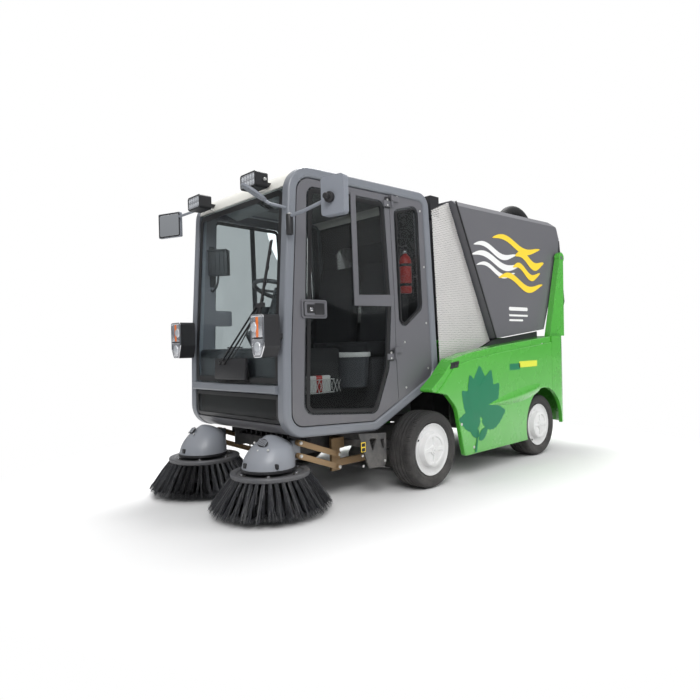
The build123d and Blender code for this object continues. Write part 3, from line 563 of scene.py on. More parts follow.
def roundRim(part, depth, bevel):
    # rounds the edges of the face at this height
    rim = [e for e in part.edges if all(abs(v.co.z - depth) < 1e-6 for v in e.verts)]
    roundEdges(part, [e for e in rim if len(e.link_faces) == 2 and e.calc_face_angle() > 0.5], bevel)


def flatFace(part, outline, height=0.0):
    # one face that looks along z
    face = part.faces.new([part.verts.new((u, v, height)) for u, v in outline])
    face.normal_update()
    if face.normal.z < 0:
        face.normal_flip()
    return face


def thicken(part, faces, depth, bevel):
    raised = bmesh.ops.extrude_face_region(part, geom=faces)["geom"]
    bmesh.ops.translate(part, verts=[v for v in raised if isinstance(v, bmesh.types.BMVert)], vec=(0, 0, depth))
    if bevel:
        roundRim(part, depth, bevel)
    bmesh.ops.recalc_face_normals(part, faces=part.faces[:])
    return part


def plate(outline, depth, bevel=0.0):
    # an outline stood up along z from 0, with a rounded rim
    part = bmesh.new()
    return thicken(part, [flatFace(part, outline)], depth, bevel)


def ringPlate(outline, width, depth, bevel=0.0):
    # a flat frame inside an outline
    part = bmesh.new()
    face = flatFace(part, outline)
    bmesh.ops.inset_region(
        part, faces=[face], thickness=width, depth=0, use_boundary=True, use_even_offset=True
    )
    bmesh.ops.delete(part, geom=[face], context="FACES")
    return thicken(part, part.faces[:], depth, bevel)


def spun(profile, steps=48, closed=False):
    # (z, radius) rows turned about z
    part = bmesh.new()
    verts = [part.verts.new((r, 0, z)) for z, r in profile]
    ends = verts[1:] + ([verts[0]] if closed else [])
    edges = [part.edges.new(pair) for pair in zip(verts, ends)]
    bmesh.ops.spin(
        part, geom=verts + edges, axis=(0, 0, 1), cent=(0, 0, 0), angle=math.tau, steps=steps, use_merge=True
    )
    bmesh.ops.remove_doubles(part, verts=part.verts[:], dist=1e-5)
    bmesh.ops.recalc_face_normals(part, faces=part.faces[:])
    return part


def ringSkin(part, rings, used=0):
    # quads round and between rings that close on themselves
    for low, high in zip(rings, rings[1:]):
        for k in range(len(low)):
            part.faces.new((low[k], low[k - 1], high[k - 1], high[k])).material_index = used


def turnSkin(part, rings):
    # quads between open rings, and from the last ring back to the first
    for ring, nextRing in zip(rings, rings[1:] + rings[:1]):
        for a, b, c, d in zip(ring, ring[1:], nextRing[1:], nextRing):
            part.faces.new((a, b, c, d))


def pipe(points, radius, sides=10, swell=None):
    # a tube through points; swell gives the radius at each one
    part = bmesh.new()
    points = [Vector(p) for p in points]
    rings, across = [], None
    for i, here in enumerate(points):
        ahead = (points[min(i + 1, len(points) - 1)] - points[max(i - 1, 0)]).normalized()
        if across is None:
            across = ahead.orthogonal().normalized()
        across = (across - ahead * across.dot(ahead)).normalized()
        other = ahead.cross(across)
        r = swell[i] if swell else radius
        turns = [math.tau * k / sides for k in range(sides)]
        rings.append([part.verts.new(here + (across * math.cos(t) + other * math.sin(t)) * r) for t in turns])
    ringSkin(part, rings)
    part.faces.new(rings[0])
    part.faces.new(rings[-1][::-1])
    bmesh.ops.recalc_face_normals(part, faces=part.faces[:])
    return part


def curve(points, count):
    # a smooth line through points
    points = [Vector(p) for p in points]
    longer = [2 * points[0] - points[1]] + points + [2 * points[-1] - points[-2]]
    line = []
    for k in range(count + 1):
        place = k / count * (len(points) - 1)
        i = min(int(place), len(points) - 2)
        t = place - i
        a, b, c, d = longer[i : i + 4]
        bend, twist = 2 * a - 5 * b + 4 * c - d, 3 * b - a - 3 * c + d
        line.append(0.5 * (2 * b + (c - a) * t + bend * t * t + twist * t**3))
    return line


# a flat part drawn as (y, z) and laid on a side: the cab's sides taper, the body's are square
along = Vector((math.sin(cab["taper"]), math.cos(cab["taper"]), 0))
outward = Vector((math.cos(cab["taper"]), -math.sin(cab["taper"]), 0))


def onCab(side, out=0.0):
    base = Vector((cab["frontX"], cab["frontY"], 0)) - along * cab["frontY"] + outward * out
    return mirrored(side) @ Matrix.Translation(base) @ axes(along, (0, 0, 1), outward)


def onBody(side, x):
    return mirrored(side) @ moved(x) @ axes((0, 1, 0), (0, 0, 1), (1, 0, 0))


def onFront(side, y):
    # drawn as (x, z), facing forward at this y
    return mirrored(side) @ moved(y=y) @ axes((1, 0, 0), (0, 0, 1), (0, -1, 0))


def onBack(side, y):
    # drawn as (-x, z), facing back at this y
    return mirrored(side) @ moved(y=y) @ axes((-1, 0, 0), (0, 0, 1), (0, 1, 0))


sides = {"Left": (1, "left"), "Right": (-1, "right")}


# wheels: (distance from the middle plane, radius) of half a tyre's skin, tread first
wheel = {
    "tread": [
        (0.0, 0.262), (0.0125, 0.262), (0.014, 0.255), (0.0195, 0.255), (0.021, 0.2622),
        (0.04, 0.2615), (0.0415, 0.255), (0.0475, 0.255), (0.049, 0.2605),
    ],
    "shoulder": [(0.056, 0.26), (0.068, 0.259), (0.078, 0.2565), (0.085, 0.253)],
    "flank": [
        (0.0895, 0.2475), (0.0905, 0.2465), (0.0925, 0.246), (0.0955, 0.238), (0.097, 0.227), (0.0965, 0.217),
        (0.0945, 0.208), (0.095, 0.206), (0.093, 0.201), (0.089, 0.193), (0.084, 0.186), (0.081, 0.1815),
        (0.076, 0.1782),
    ],
    "pitches": 58,
    # where in one pitch a ring stands, and whether it lies in a slot
    "rings": [(0.0, 0), (0.42, 0), (0.44, 0.5), (0.52, 0.5), (0.54, 0), (0.86, 0), (0.88, 1), (0.98, 1)],
    "slotDepth": 0.0055,
}


def makeTyre(name, cadNode, centre, body):
    half = [(u, r, 0) for u, r in wheel["tread"]] + [(u, r, 1) for u, r in wheel["shoulder"]]
    half += [(u, r, 0) for u, r in wheel["flank"]]
    profile = [(-u, r, slotted) for u, r, slotted in reversed(half[1:])] + half
    bm = bmesh.new()
    rings = []
    for pitch in range(wheel["pitches"]):
        for share, depth in wheel["rings"]:
            turn = math.tau * (pitch + share) / wheel["pitches"]
            ring = []
            for u, r, slotted in profile:
                r -= slotted * depth * wheel["slotDepth"]
                ring.append(bm.verts.new((u, r * math.cos(turn), r * math.sin(turn))))
            rings.append(ring)
    turnSkin(bm, rings)
    bmesh.ops.translate(bm, verts=bm.verts[:], vec=centre)
    bmesh.ops.recalc_face_normals(bm, faces=bm.faces[:])
    makePiece(name, bm, ["tyreRubber"], body, [cadNode], sharp=28)


rimShape = {
    # (distance out from the wheel's middle plane, radius)
    "dish": [
        (-0.074, 0.1775), (-0.07, 0.166), (0.03, 0.16), (0.066, 0.17), (0.08, 0.1745), (0.0835, 0.1765),
        (0.083, 0.1725), (0.077, 0.169), (0.07, 0.16), (0.0645, 0.148), (0.061, 0.135), (0.06, 0.123),
        (0.061, 0.118), (0.068, 0.1165), (0.096, 0.113), (0.102, 0.11), (0.1045, 0.104), (0.1045, 0.096),
    ],
    "faceRings": (0.096, 0.09, 0.084, 0.078, 0.066, 0.054, 0.044, 0.04, 0.034, 0.026, 0.024, 0.018),
    "face": 0.1045,
    # four pockets (inner and outer radius, depth) lie between the arms of a cross on the cap's face
    "pocket": (0.036, 0.088, 0.0075),
    "armWidth": 0.011,
    # a raised hub: (radius, height)
    "hub": (0.024, 0.003),
    # the valve hole's place: (distance out, radius), and how near to it faces are dark
    "valve": (0.0695, 0.15),
    "valveDark": 0.009,
    "steps": 96,
}


def makeRim(name, cadNode, centre, side, body, hole):
    bm = bmesh.new()
    low, high, depth = rimShape["pocket"]
    hubRadius, hubHeight = rimShape["hub"]
    rings = []
    for k in range(rimShape["steps"]):
        turn = math.tau * k / rimShape["steps"]
        offCross = abs((turn + math.pi / 4) % (math.pi / 2) - math.pi / 4)
        rows = list(rimShape["dish"])
        for r in rimShape["faceRings"]:
            out = rimShape["face"]
            if low < r < high and offCross > rimShape["armWidth"] / r:
                out -= depth
            if r <= hubRadius:
                out += hubHeight
            rows.append((out, r))
        rings.append([bm.verts.new((u, r * math.cos(turn), r * math.sin(turn))) for u, r in rows])
    turnSkin(bm, rings)
    bm.faces.new([ring[-1] for ring in rings])
    bmesh.ops.recalc_face_normals(bm, faces=bm.faces[:])
    cap = bmesh.new()
    bmesh.ops.create_cone(cap, cap_ends=True, segments=24, radius1=0.007, radius2=0.007, depth=0.004)
    turn = math.radians(hole)
    out, r = rimShape["valve"]
    valve = Vector((out, r * math.cos(turn), r * math.sin(turn)))
    join(bm, cap, Matrix.Translation(valve) @ turnedBy("Y", 90))
    join(bm, bolt(0.010, 0.006), moved(0.106) @ turnedBy("Y", 90))
    whole = bmesh.new()
    join(whole, bm, moved(*centre) @ mirrored(side))
    spot = Vector((side * valve.x, valve.y, valve.z))
    for face in whole.faces:
        away = face.calc_center_median() - Vector(centre) - spot
        face.material_index = int(away.length < rimShape["valveDark"])
    makePiece(name, whole, ["wheelWhite", "rubber"], body, [cadNode], sharp=40)


wheelPlaces = {
    # name: (node's ending, middle, side, angle of the valve hole)
    "FrontLeft": ("front_left", (0.6725, -0.3585, 0.2625), 1, 150),
    "FrontRight": ("front_right", (-0.6725, -0.3585, 0.2625), -1, 30),
    "RearLeft": ("rear_left", (0.640, 1.1465, 0.2625), 1, 235),
    "RearRight": ("rear_right", (-0.640, 1.1465, 0.2625), -1, 100),
}
for corner, (ending, centre, side, hole) in wheelPlaces.items():
    makeTyre("tyre" + corner, "tyre_" + ending, centre, "wheel_" + ending)
    makeRim("rim" + corner, "rim_" + ending, centre, side, "wheel_" + ending, hole)
print("wheels made")


# brush units
brush = {
    "centre": (0.386, -1.4365),
    "rim": 0.238,
    "plateTop": 0.250,
    "tufts": 40,
    "strands": 44,
    "rootRadius": 0.208,
    "tipRadius": 0.374,
    "tipLow": 0.035,
    "strand": 0.0013,
    # how far round the strands of a tuft stand at their roots and their tips, in radians
    "rootSpread": 0.042,
    "tipSpread": 0.082,
    "paleShare": 0.22,
    # the skirt of packed strands: flutes to a tuft, inner radius, how much shorter than the tips, wall
    "skirt": (8, 0.212, 0.034, 0.004),
    # cover sections: (height, middle along y, radius), 2 mm outside the solid cover
    "cover": [
        (0.262, -1.4485, 0.158), (0.272, -1.4485, 0.1595), (0.330, -1.4385, 0.150), (0.385, -1.4225, 0.125),
        (0.414, -1.4165, 0.098), (0.437, -1.4205, 0.064), (0.452, -1.4285, 0.036), (0.4585, -1.4365, 0.018),
    ],
    "coverSides": 64,
    "bolts": 6,
}


def makeBristles(name, side, cadNode, body):
    chance = random.Random(name)
    bm = bmesh.new()
    x, y = brush["centre"]
    root = brush["plateTop"] - 0.02
    for tuft in range(brush["tufts"]):
        middle = math.tau * tuft / brush["tufts"]
        across, up = Vector((-math.sin(middle), math.cos(middle), 0)), Vector((0, 0, 1))
        lean = chance.uniform(-0.03, 0.03)
        for _ in range(brush["strands"]):
            rootTurn = middle + chance.uniform(-brush["rootSpread"], brush["rootSpread"])
            rootRadius = chance.uniform(brush["rootRadius"], brush["rim"] - 0.004)
            spread = chance.uniform(-brush["tipSpread"], brush["tipSpread"])
            tipTurn = middle + lean + spread
            short = 0.055 * chance.random() ** 1.5
            tipRadius = brush["tipRadius"] - short - 0.05 * abs(spread) / brush["tipSpread"] * chance.random()
            tipZ = brush["tipLow"] + chance.uniform(0, 0.020)
            width = brush["strand"] * chance.uniform(0.8, 1.3)
            rings = []
            for share in (0, 0.35, 0.7, 1):
                turn = rootTurn + (tipTurn - rootTurn) * share
                r = rootRadius + (tipRadius - rootRadius) * share**0.88
                z = root + (tipZ - root) * share
                here = Vector((side * (x + r * math.cos(turn)), y + r * math.sin(turn), z))
                corners = ((1, 0), (-0.5, 0.87), (-0.5, -0.87))
                rings.append([bm.verts.new(here + across * (u * width) + up * (v * width)) for u, v in corners])
            shade = int(chance.random() < brush["paleShare"])
            ringSkin(bm, rings, shade)
            bm.faces.new(rings[-1]).material_index = shade
    bmesh.ops.recalc_face_normals(bm, faces=bm.faces[:])
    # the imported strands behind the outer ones, as a fluted skirt
    flutes, inner, shorter, wall = brush["skirt"]
    skirt = bmesh.new()
    count = brush["tufts"] * flutes
    rows = []
    for share in (0, 0.3, 0.6, 0.85, 0.97):
        ring = []
        for k in range(count):
            turn = math.tau * k / count
            flute = 0.5 + 0.5 * math.cos(turn * brush["tufts"])
            rough = chance.uniform(-0.003, 0.003) * share
            r = inner + (brush["tipRadius"] - inner - shorter) * share**0.9 + (0.006 * flute + rough) * share
            low = brush["tipLow"] + 0.014 + 0.010 * (1 - flute) + chance.uniform(0, 0.008) * (share > 0.9)
            z = root + (low - root) * share
            ring.append(skirt.verts.new((side * (x + r * math.cos(turn)), y + r * math.sin(turn), z)))
        rows.append(ring)
    ringSkin(skirt, rows)
    bmesh.ops.solidify(skirt, geom=skirt.faces[:], thickness=wall)
    bmesh.ops.recalc_face_normals(skirt, faces=skirt.faces[:])
    join(bm, skirt)
    makePiece(name, bm, ["bristle", "bristlePale"], body, [cadNode])


def makeBrushPlate(name, side, body):
    bm = bmesh.new()
    x, y = brush["centre"]
    top, rim = brush["plateTop"], brush["rim"]
    profile = [
        (top - 0.045, 0.196), (top - 0.026, rim - 0.004), (top - 0.008, rim), (top - 0.001, rim - 0.003),
        (top, rim - 0.010), (top - 0.001, rim - 0.030), (top - 0.004, rim - 0.040), (top - 0.010, rim - 0.044),
        (top - 0.011, 0.12), (top - 0.011, 0.02),
    ]
    join(bm, spun(profile, 72), moved(side * x, y))
    join(bm, barrel(0.045, 0.02, 32, 0.004), moved(side * x, y, top - 0.012), 1)
    for k in range(brush["bolts"]):
        turn = math.tau * (k + 0.35) / brush["bolts"]
        spot = moved(side * x + 0.182 * math.cos(turn), y + 0.182 * math.sin(turn), top - 0.011)
        join(bm, barrel(0.024, 0.007, 20, 0.002), spot, 1)
        join(bm, bolt(0.010, 0.009), spot @ moved(z=0.006), 2)
    makePiece(name, bm, ["coverDark", "rubber", "chrome"], body, sharp=30)


def makeCover(name, side, body):
    bm = bmesh.new()
    x, count = brush["centre"][0], brush["coverSides"]
    turns = [math.tau * k / count for k in range(count)]
    rings = []
    for z, y, r in curve(brush["cover"], 30):
        rings.append([bm.verts.new((side * x + r * math.cos(t), y + r * math.sin(t), z)) for t in turns])
    ringSkin(bm, rings)
    bm.faces.new(rings[-1])
    bmesh.ops.recalc_face_normals(bm, faces=bm.faces[:])
    whole = bmesh.new()
    join(whole, bm)
    # foot band, two clamps, a grille and screws
    foot = [(0.258, 0.1595), (0.258, 0.1630), (0.266, 0.1640), (0.275, 0.1630), (0.275, 0.1595)]
    join(whole, spun(foot, count, True), moved(side * x, brush["cover"][0][1]), 1)
    for degrees in (-96, -20):
        t, r = math.radians(degrees), 0.158
        spot = moved(side * (x + r * math.cos(t)), -1.443 + r * math.sin(t), 0.300)
        join(whole, block(0.030, 0.016, 0.030, 0.006), spot, 1)
    grille = moved(side * (x + 0.030), -1.506, 0.424) @ turnedBy("X", 48) @ turnedBy("Y", 12 * side)
    oval = [(0.040 * math.cos(t), 0.026 * math.sin(t)) for t in turns[::2]]
    join(whole, plate(oval, 0.006, 0.002), grille, 1)
    for step in range(-3, 4):
        join(whole, block(0.0035, 0.040, 0.004), grille @ moved(step * 0.010, 0, 0.0065))
    for u, v in ((-0.062, -0.012), (0.066, -0.030), (0.0, -0.052)):
        join(whole, barrel(0.007, 0.008, 16, 0.002), grille @ moved(u, v, -0.006), 2)
    makePiece(name, whole, ["coverGrey", "blackPlastic", "boltPale"], body, sharp=50)


for label, (side, name) in sides.items():
    makeBristles("bristles" + label, side, "brush_" + name, "brush_" + name)
    makeBrushPlate("brushPlate" + label, side, "brush_" + name)
    makeCover("brushCover" + label, side, "brush_head_" + name)
print("brush units made")


# seals: bands round the panes, as (y, z, corner radius) on the cab's sides and (x, z, radius) on its front
seal = {
    "door": [
        (-1.2205, 1.932, 0.045), (-1.2805, 0.585, 0.060), (-0.7085, 0.540, 0.060), (-0.5905, 0.820, 0.090),
        (-0.5595, 1.214, 0.060), (-0.6045, 1.932, 0.045),
    ],
    "quarter": [
        (-0.4845, 1.890, 0.030), (-0.2705, 1.948, 0.040), (-0.2445, 1.235, 0.060), (-0.4565, 1.085, 0.040),
    ],
    "doorWidth": 0.026,
    "quarterWidth": 0.012,
    # name: (width, the pane it lies on, outline)
    "front": {
        "screen": (0.034, "windscreen", [
            (-0.484, 0.766, 0.03), (0.484, 0.766, 0.03), (0.484, 1.918, 0.05), (-0.484, 1.918, 0.05),
        ]),
        "nose": (0.024, "nose_glass", [
            (-0.482, 0.528, 0.03), (0.482, 0.528, 0.03), (0.482, 0.698, 0.02), (-0.482, 0.698, 0.02),
        ]),
        "notch": (0.020, "windscreen", [
            (-0.17, 0.758, 0.01), (0.19, 0.758, 0.01), (0.16, 0.895, 0.02), (-0.14, 0.895, 0.02),
        ]),
    },
    # the longest edge left before a front band is pressed onto its pane
    "longest": 0.06,
}


def follow(part, pane, out):
    # presses a front band, drawn as (x, z), onto the pane's own face
    front = cab["frontY"]
    for v in part.verts:
        depth = v.co.z
        hit, spot, _, _ = nodes[pane].ray_cast(Vector((v.co.x, -3, v.co.y)), Vector((0, 1, 0)))
        front = spot.y if hit else front
        v.co = Vector((v.co.x, front - out - depth, v.co.y))
    bmesh.ops.recalc_face_normals(part, faces=part.faces[:])
    return part


def cutEdges(part, longest):
    # enough cuts for a band to bend with the pane
    long = [e for e in part.edges if e.calc_length() > longest]
    while long:
        bmesh.ops.subdivide_edges(part, edges=long, cuts=1, use_grid_fill=True)
        long = [e for e in part.edges if e.calc_length() > longest]
    return part


def makeSeals():
    for label, (side, name) in sides.items():
        bm = bmesh.new()
        join(bm, ringPlate(rounded(seal["door"]), seal["doorWidth"], 0.006, 0.002), onCab(side, -0.0105))
        makePiece("doorSeal" + label, bm, ["sealBlack"], "door_" + name)
        bm = bmesh.new()
        join(bm, ringPlate(rounded(seal["quarter"]), seal["quarterWidth"], 0.004, 0.001), onCab(side, -0.0125))
        makePiece("quarterSeal" + label, bm, ["sealBlack"])
    for label, (width, pane, outline) in seal["front"].items():
        part = cutEdges(ringPlate(rounded(outline), width, 0.004), seal["longest"])
        makePiece(label + "Seal", follow(part, pane, 0.0005), ["sealBlack"])


makeSeals()
print("seals made")


# door furniture
doorSet = {
    # middle of the lock's plate as (y, z) on the cab's side
    "lock": (-1.2025, 1.206),
    "frame": (0.190, 0.112, 0.016),
    # the lock's well, grip and key plate: (width, height, corner), (along, out), depth, bevel
    "lockPlates": [
        ((0.164, 0.088, 0.012), (0, 0.0005), 0.004, 0),
        ((0.074, 0.070, 0.008), (0.030, 0.004), 0.008, 0.002),
        ((0.058, 0.052, 0.006), (-0.034, 0.004), 0.006, 0.0015),
    ],
    "hinges": (0.900, 1.930),
    "hingeY": -0.562,
    "rivets": [
        (-0.464, 1.996), (-0.235, 1.925), (-0.207, 1.529), (-0.196, 1.129), (-0.187, 0.806), (-0.422, 0.996),
        (-0.418, 0.682),
    ],
}


def makeDoorSet(label, side, name):
    bm = bmesh.new()
    y, z = doorSet["lock"]
    face = onCab(side) @ moved(y, z)
    join(bm, ringPlate(roundBox(*doorSet["frame"]), 0.014, 0.011, 0.003), face @ moved(z=-0.010))
    for size, (shift, out), depth, bevel in doorSet["lockPlates"]:
        join(bm, plate(roundBox(*size), depth, bevel), face @ moved(shift, 0, out), 1)
    join(bm, barrel(0.011, 0.012, 24, 0.002), face @ moved(-0.034, -0.004, 0.006), 2)
    looks = ["cabGrey", "blackPlastic", "chrome"]
    makePiece("doorLock" + label, bm, looks, "door_" + name)
    bm = bmesh.new()
    for height in doorSet["hinges"]:
        leaf = onCab(side) @ moved(doorSet["hingeY"], height + 0.008)
        join(bm, plate(roundBox(0.046, 0.074, 0.006), 0.006, 0.0015), leaf @ moved(z=-0.008))
        for step in (-0.018, 0.018):
            join(bm, barrel(0.0075, 0.005, 16, 0.0015), leaf @ moved(-0.004, step, -0.002), 1)
    makePiece("doorHinge" + label, bm, ["blackPlastic", "boltPale"], "door_" + name)
    bm = bmesh.new()
    for y, z in doorSet["rivets"]:
        join(bm, barrel(0.0080, 0.0035, 16, 0.0015), onCab(side) @ moved(y, z, -0.012))
    makePiece("rivets" + label, bm, ["boltPale"])


for label, (side, name) in sides.items():
    makeDoorSet(label, side, name)
print("door furniture made")


# lamps and mirrors
headlamp = {
    "front": -1.5715,
    "face": [
        (0.425, 1.170, 0.016), (0.556, 1.170, 0.020), (0.556, 0.985, 0.030), (0.524, 0.924, 0.014),
        (0.452, 0.924, 0.014), (0.425, 1.010, 0.030),
    ],
    "upper": [(0.4375, 1.160, 0.012), (0.5445, 1.160, 0.016), (0.5445, 1.040, 0.006), (0.4375, 1.040, 0.006)],
    "lower": [
        (0.4375, 1.030, 0.006), (0.5445, 1.030, 0.006), (0.5445, 0.990, 0.02), (0.520, 0.937, 0.012),
        (0.457, 0.937, 0.012), (0.4375, 1.008, 0.02),
    ],
    # the amber bar: (width, height, corner, x, z)
    "bar": (0.024, 0.115, 0.004, 0.491, 1.098),
    # round lenses: (height, radius) rows, and the middle as (x, z)
    "lenses": [
        ([(0.004, 0.030), (0.012, 0.024), (0.015, 0.0001)], (0.462, 1.098)),
        ([(0.004, 0.030), (0.010, 0.026), (0.012, 0.0001)], (0.491, 0.985)),
    ],
}
workLamp = {
    "front": -1.4985,
    "middle": (0.327, 1.976),
    # (width, height, corner)
    "frame": (0.158, 0.088, 0.016),
    "board": (0.142, 0.072, 0.010),
    "cell": [(0.002, 0.0125), (0.004, 0.010), (0.005, 0.0001)],
    "cells": 5,
    "firstCell": -0.056,
    "cellPitch": 0.028,
    "cellRows": (0.017, -0.017),
    "fins": 6,
}


def makeHeadlamp(label, side):
    bm = bmesh.new()
    front = onFront(side, headlamp["front"])
    face = rounded(headlamp["face"])
    join(bm, ringPlate(face, 0.013, 0.006, 0.003), front)
    join(bm, plate(face, 0.001), front, 4)
    for rows in (headlamp["upper"], headlamp["lower"]):
        join(bm, plate(rounded(rows), 0.004, 0.0015), front, 1)
    join(bm, plate(roundBox(*headlamp["bar"]), 0.0065, 0.002), front, 2)
    for profile, middle in headlamp["lenses"]:
        join(bm, spun(profile, 32), front @ moved(*middle), 3)
    looks = ["chrome", "reflector", "amberLens", "lensGlass", "blackPlastic"]
    makePiece("headlampFace" + label, bm, looks)


def makeWorkLamp(label, side):
    bm = bmesh.new()
    x, z = workLamp["middle"]
    front = onFront(side, workLamp["front"])
    join(bm, ringPlate(roundBox(*workLamp["frame"], x, z), 0.008, 0.005, 0.002), front)
    join(bm, plate(roundBox(*workLamp["board"], x, z), 0.002), front, 1)
    for step in range(workLamp["cells"]):
        across = x + workLamp["firstCell"] + step * workLamp["cellPitch"]
        for rise in workLamp["cellRows"]:
            join(bm, spun(workLamp["cell"], 20), front @ moved(across, z + rise), 2)
    for fin in range(workLamp["fins"]):
        join(bm, block(0.13, 0.004, 0.078, 0.001), mirrored(side) @ moved(x, -1.409 - fin * 0.009, z))
    bracket = [(x - 0.05, -1.425, z - 0.035), (x - 0.05, -1.39, z - 0.045), (x - 0.02, -1.36, z - 0.035)]
    join(bm, pipe(bracket, 0.006), mirrored(side), 3)
    join(bm, bolt(0.011, 0.01), mirrored(side) @ moved(x + 0.084, -1.44, z) @ turnedBy("Y", 90), 3)
    looks = ["blackPlastic", "reflector", "lensGlass", "boltPale"]
    makePiece("workLampFace" + label, bm, looks)


for label, (side, _) in sides.items():
    makeHeadlamp(label, side)
    makeWorkLamp(label, side)


# the middles of the mirror heads and how far they are turned out, in degrees
mirror = {
    "left": ((0.927, -1.3535, 1.785), 12),
    "right": ((-0.903, -1.3865, 1.935), 22),
    "post": (0.572, -1.3865, 1.629),
    # (width, height, corner)
    "leftGlass": (0.126, 0.186, 0.03),
    "rightGlass": (0.190, 0.165, 0.02),
    "rightFrame": (0.204, 0.179, 0.016),
}


def makeMirrorParts():
    bm = bmesh.new()
    left, right = (moved(*middle) @ turnedBy("Z", turn) for middle, turn in (mirror["left"], mirror["right"]))
    # the left head's glass looks back, its ball joint stands on the front
    join(bm, plate(roundBox(*mirror["leftGlass"]), 0.001), left @ moved(0, 0.0232, 0) @ turnedBy("X", -90))
    join(bm, barrel(0.030, 0.022, 28, 0.006), left @ moved(-0.012, -0.023, -0.012) @ turnedBy("X", 90), 1)
    join(bm, barrel(0.017, 0.034, 24, 0.004), left @ moved(-0.012, -0.040, -0.012) @ turnedBy("X", 90), 1)
    face = right @ moved(0, -0.0122, 0) @ turnedBy("X", 90)
    join(bm, plate(roundBox(*mirror["rightGlass"]), 0.0012), face)
    join(bm, ringPlate(roundBox(*mirror["rightFrame"]), 0.009, 0.004, 0.0015), face, 1)
    # the post that carries the left arm, with its cap
    join(bm, barrel(0.021, 0.118, 24, 0.004), moved(*mirror["post"]), 1)
    join(bm, barrel(0.013, 0.006, 20, 0.002), moved(*mirror["post"]) @ moved(z=0.118), 2)
    makePiece("mirrorParts", bm, ["mirrorGlass", "blackPlastic", "boltPale"])


makeMirrorParts()
print("lamps and mirrors made")


# artwork: wave bands on the hopper, a spray of leaves and a bare label on the fender
art = {
    "hopperX": 0.6800,
    "fenderX": 0.7800,
    # wave bands: (start y, end y, height z, swing, width, finish)
    "waves": [
        (0.300, 0.930, 1.735, 0.030, 0.050, 0), (0.270, 1.010, 1.655, 0.034, 0.056, 0),
        (0.330, 0.900, 1.580, 0.030, 0.040, 0), (0.560, 1.330, 1.815, 0.034, 0.056, 1),
        (0.640, 1.360, 1.500, 0.040, 0.060, 1), (0.900, 1.390, 1.700, 0.034, 0.076, 1),
        (0.860, 1.320, 1.600, 0.036, 0.060, 1),
    ],
    "bars": [((0.790, 1.255), 0.30, 0.030), ((0.790, 1.200), 0.30, 0.016), ((0.790, 1.160), 0.22, 0.016)],
    # leaves: (root y, root z, length, lean in degrees from straight up, share of width)
    "leaves": [
        (0.190, 0.440, 0.370, 0, 0.62), (0.185, 0.420, 0.310, -46, 0.60), (0.200, 0.420, 0.350, 46, 0.60),
        (0.185, 0.390, 0.270, -80, 0.58), (0.205, 0.390, 0.330, 80, 0.56), (0.188, 0.430, 0.340, -22, 0.56),
        (0.198, 0.430, 0.370, 23, 0.56), (0.165, 0.290, 0.150, -58, 0.46), (0.160, 0.260, 0.150, 54, 0.46),
    ],
    "stem": [(0.112, 0.178), (0.140, 0.290), (0.175, 0.400), (0.190, 0.480)],
}


def waveBand(start, end, height, swing, width):
    # a ribbon that tapers to points at both ends
    upper, lower = [], []
    count = 36
    for k in range(count + 1):
        share = k / count
        u = start + (end - start) * share
        middle = height - 0.05 * share + swing * math.sin(math.tau * 1.15 * share)
        half = width / 2 * math.sin(math.pi * share) ** 0.6 if 0 < share < 1 else 0
        upper.append((u, middle + half))
        lower.append((u, middle - half))
    return lower + upper[-2:0:-1]


def leaf(y, z, length, lean, wide):
    # a pointed leaf with a slightly notched edge
    rim, count = [], 22
    for k in range(count + 1):
        share = k / count
        half = length * wide / 2 * math.sin(math.pi * share**0.8) ** 0.9 if 0 < share < 1 else 0
        rim.append((half + 0.004 * (k % 3 == 0) * (0 < share < 1), share * length))
    outline = rim + [(-u, v) for u, v in reversed(rim[1:-1])]
    c, s = math.cos(math.radians(lean)), math.sin(math.radians(lean))
    return [(y + u * c + v * s, z - u * s + v * c) for u, v in outline]


def film(outline, lift):
    # a thin sheet of foil, lifted off the paint so that crossing sheets don't share a height
    part = bmesh.new()
    bmesh.ops.triangulate(part, faces=[flatFace(part, outline, lift)])
    return part


def makeArt(label, side):
    hopper, fender = onBody(side, art["hopperX"]), onBody(side, art["fenderX"])
    bm = bmesh.new()
    for layer, (*band, colour) in enumerate(art["waves"], 2):
        join(bm, film(waveBand(*band), 0.0004 * layer), hopper, colour)
    for (y, z), long, high in art["bars"]:
        join(bm, film(roundBox(long, high, high * 0.4, y + long / 2, z), 0.0006), hopper)
    makePiece("hopperArt" + label, bm, ["foilWhite", "foilYellow"], "hopper")
    bm = bmesh.new()
    for layer, row in enumerate(art["leaves"]):
        join(bm, film(leaf(*row), 0.0005 + 0.0003 * layer), fender)
    # the stem narrows to a point at its top
    front = [(y - 0.012 + 0.006 * k, z) for k, (y, z) in enumerate(art["stem"])]
    back = [(y + 0.012 - 0.006 * k, z) for k, (y, z) in enumerate(art["stem"])]
    join(bm, film(front + back[-2::-1], 0.0050), fender)
    # a bare label in two colours
    join(bm, film(roundBox(0.16, 0.050, 0.008, 0.690, 0.780), 0.0006), fender)
    join(bm, film(roundBox(0.29, 0.050, 0.008, 0.900, 0.795), 0.0006), fender, 1)
    makePiece("fenderArt" + label, bm, ["foilGreen", "foilLime"])


for label, (side, _) in sides.items():
    makeArt(label, side)


